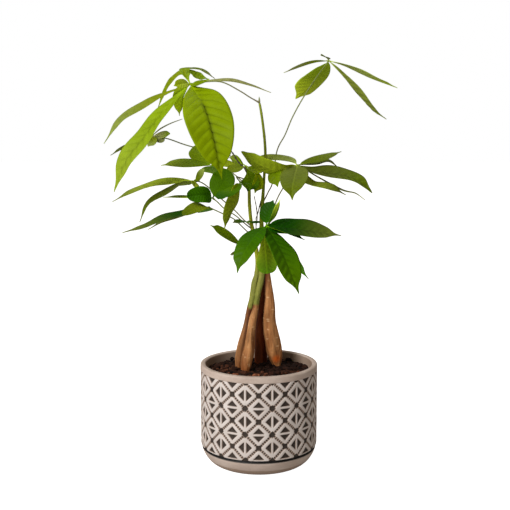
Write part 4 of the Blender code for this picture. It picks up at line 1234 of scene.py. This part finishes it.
def make_bark_material(groups):
    """Bark: tan and brown in long upright streaks, with pale flecks, rusty patches at the foot
    and one worn orange spot. Painted shade darkens it in the furrows, between the stems and on
    the stems at the back, a painted highlight lightens the ridges, and each stem's bark is painted
    brighter or darker for the light on it. It goes over into green above, painted darker on the
    stems in shade."""
    material, wiring, shader = new_material("trunk_bark", 0.25, 0.7, groups)
    streaks, patches = wiring.mottle(160.0, 0.16), wiring.mottle(70.0, 0.6)
    specks, place = wiring.mottle(600.0, 0.5), wiring.place()
    tall, lit_share = wiring.read("tall"), wiring.read("lit_share")
    shift = wiring.calculate("SUBTRACT", streaks, 0.5)

    bark = wiring.blend(streaks, (128, 72, 30), (204, 148, 94))
    foot = wiring.times(wiring.remap(tall, 98.0, 122.0, 0.6, 0.0), patches)
    bark = wiring.blend(foot, bark, (168, 84, 26))
    inputs = {0: place, 1: ORANGE_SPOT}
    worn = wiring.add("ShaderNodeVectorMath", inputs, "Value", operation="DISTANCE")
    bark = wiring.blend(wiring.remap(worn, 0.0015, 0.0065, 0.85, 0.0), bark, (206, 92, 18))

    inputs = {0: place, 1: (1.0, 1.0, 2.2)}
    flat = wiring.add("ShaderNodeVectorMath", inputs, "Vector", operation="MULTIPLY")
    cells = {"Vector": flat, "Scale": 210.0}
    number = wiring.add("ShaderNodeTexVoronoi", cells, "Color")
    chosen = wiring.remap(wiring.add("ShaderNodeSeparateColor", {0: number}), 0.8, 0.85)
    fleck = wiring.add("ShaderNodeTexVoronoi", cells, "Distance")
    fleck = wiring.times(wiring.remap(fleck, 0.2, 0.5, 0.6, 0.0), chosen)
    bark = wiring.blend(fleck, bark, (226, 184, 134))

    # Painted shade: dark red-brown where the stems come close together.
    painted_gap_shade = wiring.times_plus(shift, 0.4, wiring.read("gap_shade"))
    bark = wiring.blend(wiring.remap(painted_gap_shade, 0.05, 0.75, 0.0, 0.9), bark, (92, 38, 8))
    # Painted shade: the stems in shade at the back darkened to dark red-brown.
    bark = wiring.blend(wiring.remap(lit_share, 0.0, 0.4, 0.95, 0.0), bark, (96, 38, 4))
    # Painted shade in the bark's furrows and a painted highlight on its ridges.
    ridge = wiring.remap(wiring.read("ridge"), -0.06, 0.05)
    bark = wiring.brightened(bark, wiring.spread(ridge, 0.62, 1.16))
    # Each stem's bark painted brighter or darker for the light on it.
    bark = wiring.brightened(bark, wiring.read("light"))

    low_green = wiring.blend(streaks, (92, 104, 32), (150, 148, 68))
    # The green above is painted darker on the stems in shade.
    high_green = wiring.blend(lit_share, (60, 96, 2), (160, 168, 34))
    green = wiring.blend(wiring.remap(tall, 192.0, 212.0), low_green, high_green)
    change = wiring.times_plus(shift, 0.5, wiring.read("green"))
    mixed = wiring.blend(wiring.remap(change, 0.25, 0.75), bark, green)
    wiring.feed(shader, {
        "Base Color": wiring.brightened(mixed, wiring.spread(specks, 0.86, 1.12)),
        "Roughness": wiring.spread(specks, 0.6, 0.82),
        "Normal": wiring.relief(480.0, 0.35, streaks),
    })
    return material


def make_clay_material(groups):
    """Unglazed ceramic: warm sand colour, faintly clouded, stained by soil inside, and near black
    as painted shade in the groove and behind the carved band."""
    material, wiring, shader = new_material("pot_clay", 0.3, 0.6, groups)
    clouds, specks = wiring.mottle(38.0, 2.6), wiring.mottle(700.0)
    clay = wiring.blend(clouds, (178, 158, 145), (200, 184, 172))
    clay = wiring.brightened(clay, wiring.spread(specks, 0.93, 1.05))
    clay = wiring.blend(wiring.times(wiring.read("inner"), 0.6), clay, (132, 104, 78))
    wiring.feed(shader, {
        # Near black where marked: painted shade in the groove and behind the carved band.
        "Base Color": wiring.blend(wiring.read("carved"), clay, (8, 6, 5)),
        "Roughness": wiring.spread(specks, 0.52, 0.7),
        "Normal": wiring.relief(900.0, 0.12),
    })
    return material


def make_lattice_material(groups):
    """The carved band: pale slip on what stands proud, brown in the shallow lines, and dark
    brown and speckled in the deep cuts."""
    material, wiring, shader = new_material("pot_lattice", 0.3, 0.55, groups)
    clouds, specks = wiring.mottle(60.0), wiring.mottle(800.0)
    depth = wiring.read("carved")
    pale = wiring.blend(clouds, (198, 188, 181), (220, 211, 206))
    dark = wiring.blend(specks, (36, 28, 24), (74, 64, 56))
    lines = wiring.blend(wiring.remap(depth, 0.04, 0.3), pale, (160, 140, 126))
    wiring.feed(shader, {
        "Base Color": wiring.blend(wiring.remap(depth, 0.42, 0.72), lines, dark),
        "Roughness": wiring.spread(specks, 0.5, 0.66),
        "Normal": wiring.relief(1000.0, 0.10),
    })
    return material


def make_soil_material(groups, name, low, high):
    """Damp soil: grainy, from one colour in its hollows to another on what stands up or is
    marked as brown."""
    material, wiring, shader = new_material(name, 0.15, 0.9, groups)
    grains, patches = wiring.mottle(520.0), wiring.mottle(110.0)
    rise = wiring.spread(wiring.read("rise"), 0.0, 1.0)
    mixed = wiring.blend(wiring.times(rise, wiring.spread(patches, 0.5, 1.2)), low, high)
    wiring.feed(shader, {
        "Base Color": wiring.brightened(mixed, wiring.spread(grains, 0.5, 1.5)),
        "Normal": wiring.relief(700.0, 0.9),
    })
    return material


def make_twig_material(groups):
    """Dry wood: grey, in darker and lighter patches."""
    material, wiring, shader = new_material("dry_twig", 0.2, 0.75, groups)
    grey = wiring.blend(wiring.mottle(300.0), (62, 60, 50), (134, 128, 108))
    wiring.feed(shader, {"Base Color": grey})
    return material


def aim(start, target):
    """The turn that points an object's -Z from one place to another."""
    x, y, z = (b - a for a, b in zip(start, target))
    return (math.atan2(math.hypot(x, y), -z), 0, math.atan2(-x, y))


def make_stage():
    """A plain pale floor and a warm grey surround that both look white to the camera, a strong
    soft light from the front left, a faint one from above, and the camera."""
    bpy.ops.mesh.primitive_plane_add(size=40, location=(0, 0, 0))
    floor = bpy.context.object
    floor.name = "floor"
    material, wiring, shader = new_material("pale_floor", 0.0, 0.9)
    wiring.feed(shader, {
        "Base Color": (*FLOOR, 1),
        "Emission Color": (1, 1, 1, 1),
        "Emission Strength": wiring.times(wiring.camera_ray(), FLOOR_LIFT),
    })
    floor.data.materials.append(material)

    scene = bpy.context.scene
    scene.world = bpy.data.worlds.new("white_surround")
    scene.world.use_nodes = True
    wiring = Wiring(scene.world.node_tree)
    inputs = {0: wiring.camera_ray(), 6: (*SURROUND, 1), 7: (1, 1, 1, 1)}
    seen = wiring.add("ShaderNodeMix", inputs, 2, data_type="RGBA")
    wiring.feed(wiring.tree.nodes["Background"], {"Color": seen})

    for name, place, size, power in LIGHTS:
        data = bpy.data.lights.new(name, "AREA")
        data.size = size
        data.energy = power
        light = bpy.data.objects.new(name, data)
        light.location = place
        light.rotation_euler = aim(place, (0, 0, 0.2))
        scene.collection.objects.link(light)

    data = bpy.data.cameras.new("camera")
    data.lens = LENS
    scene.camera = bpy.data.objects.new("camera", data)
    scene.camera.location = CAMERA_PLACE
    scene.camera.rotation_euler = (math.pi / 2 - CAMERA_PITCH, 0, CAMERA_YAW)
    scene.collection.objects.link(scene.camera)
    scene.view_settings.view_transform = "Standard"


def main():
    """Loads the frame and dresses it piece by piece."""
    for obj in list(bpy.data.objects):
        bpy.data.objects.remove(obj, do_unlink=True)
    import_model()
    make_stage()
    groups = {"mottle": make_mottle_group(), "relief": make_relief_group()}
    leaf_material = make_leaf_material(groups)
    stalk_material = make_stalk_material(groups)
    bark = make_bark_material(groups)
    twig = make_twig_material(groups)
    make_pot_body(make_clay_material(groups))
    make_lattice(make_lattice_material(groups))
    make_soil(make_soil_material(groups, "soil_mix", (16, 9, 6), (66, 38, 24)))
    make_crumbs(make_soil_material(groups, "soil_crumbs", (24, 11, 7), (184, 112, 78)))
    for name in STEMS:
        make_stem(name, bark)
    for name in LEAVES:
        make_leaf(name, leaf_material, stalk_material)
    for name, (points, radii) in TWIGS.items():
        make_twig(name, points, radii, twig)
    make_bud("bud_tip", *BUD, stalk_material)


main()
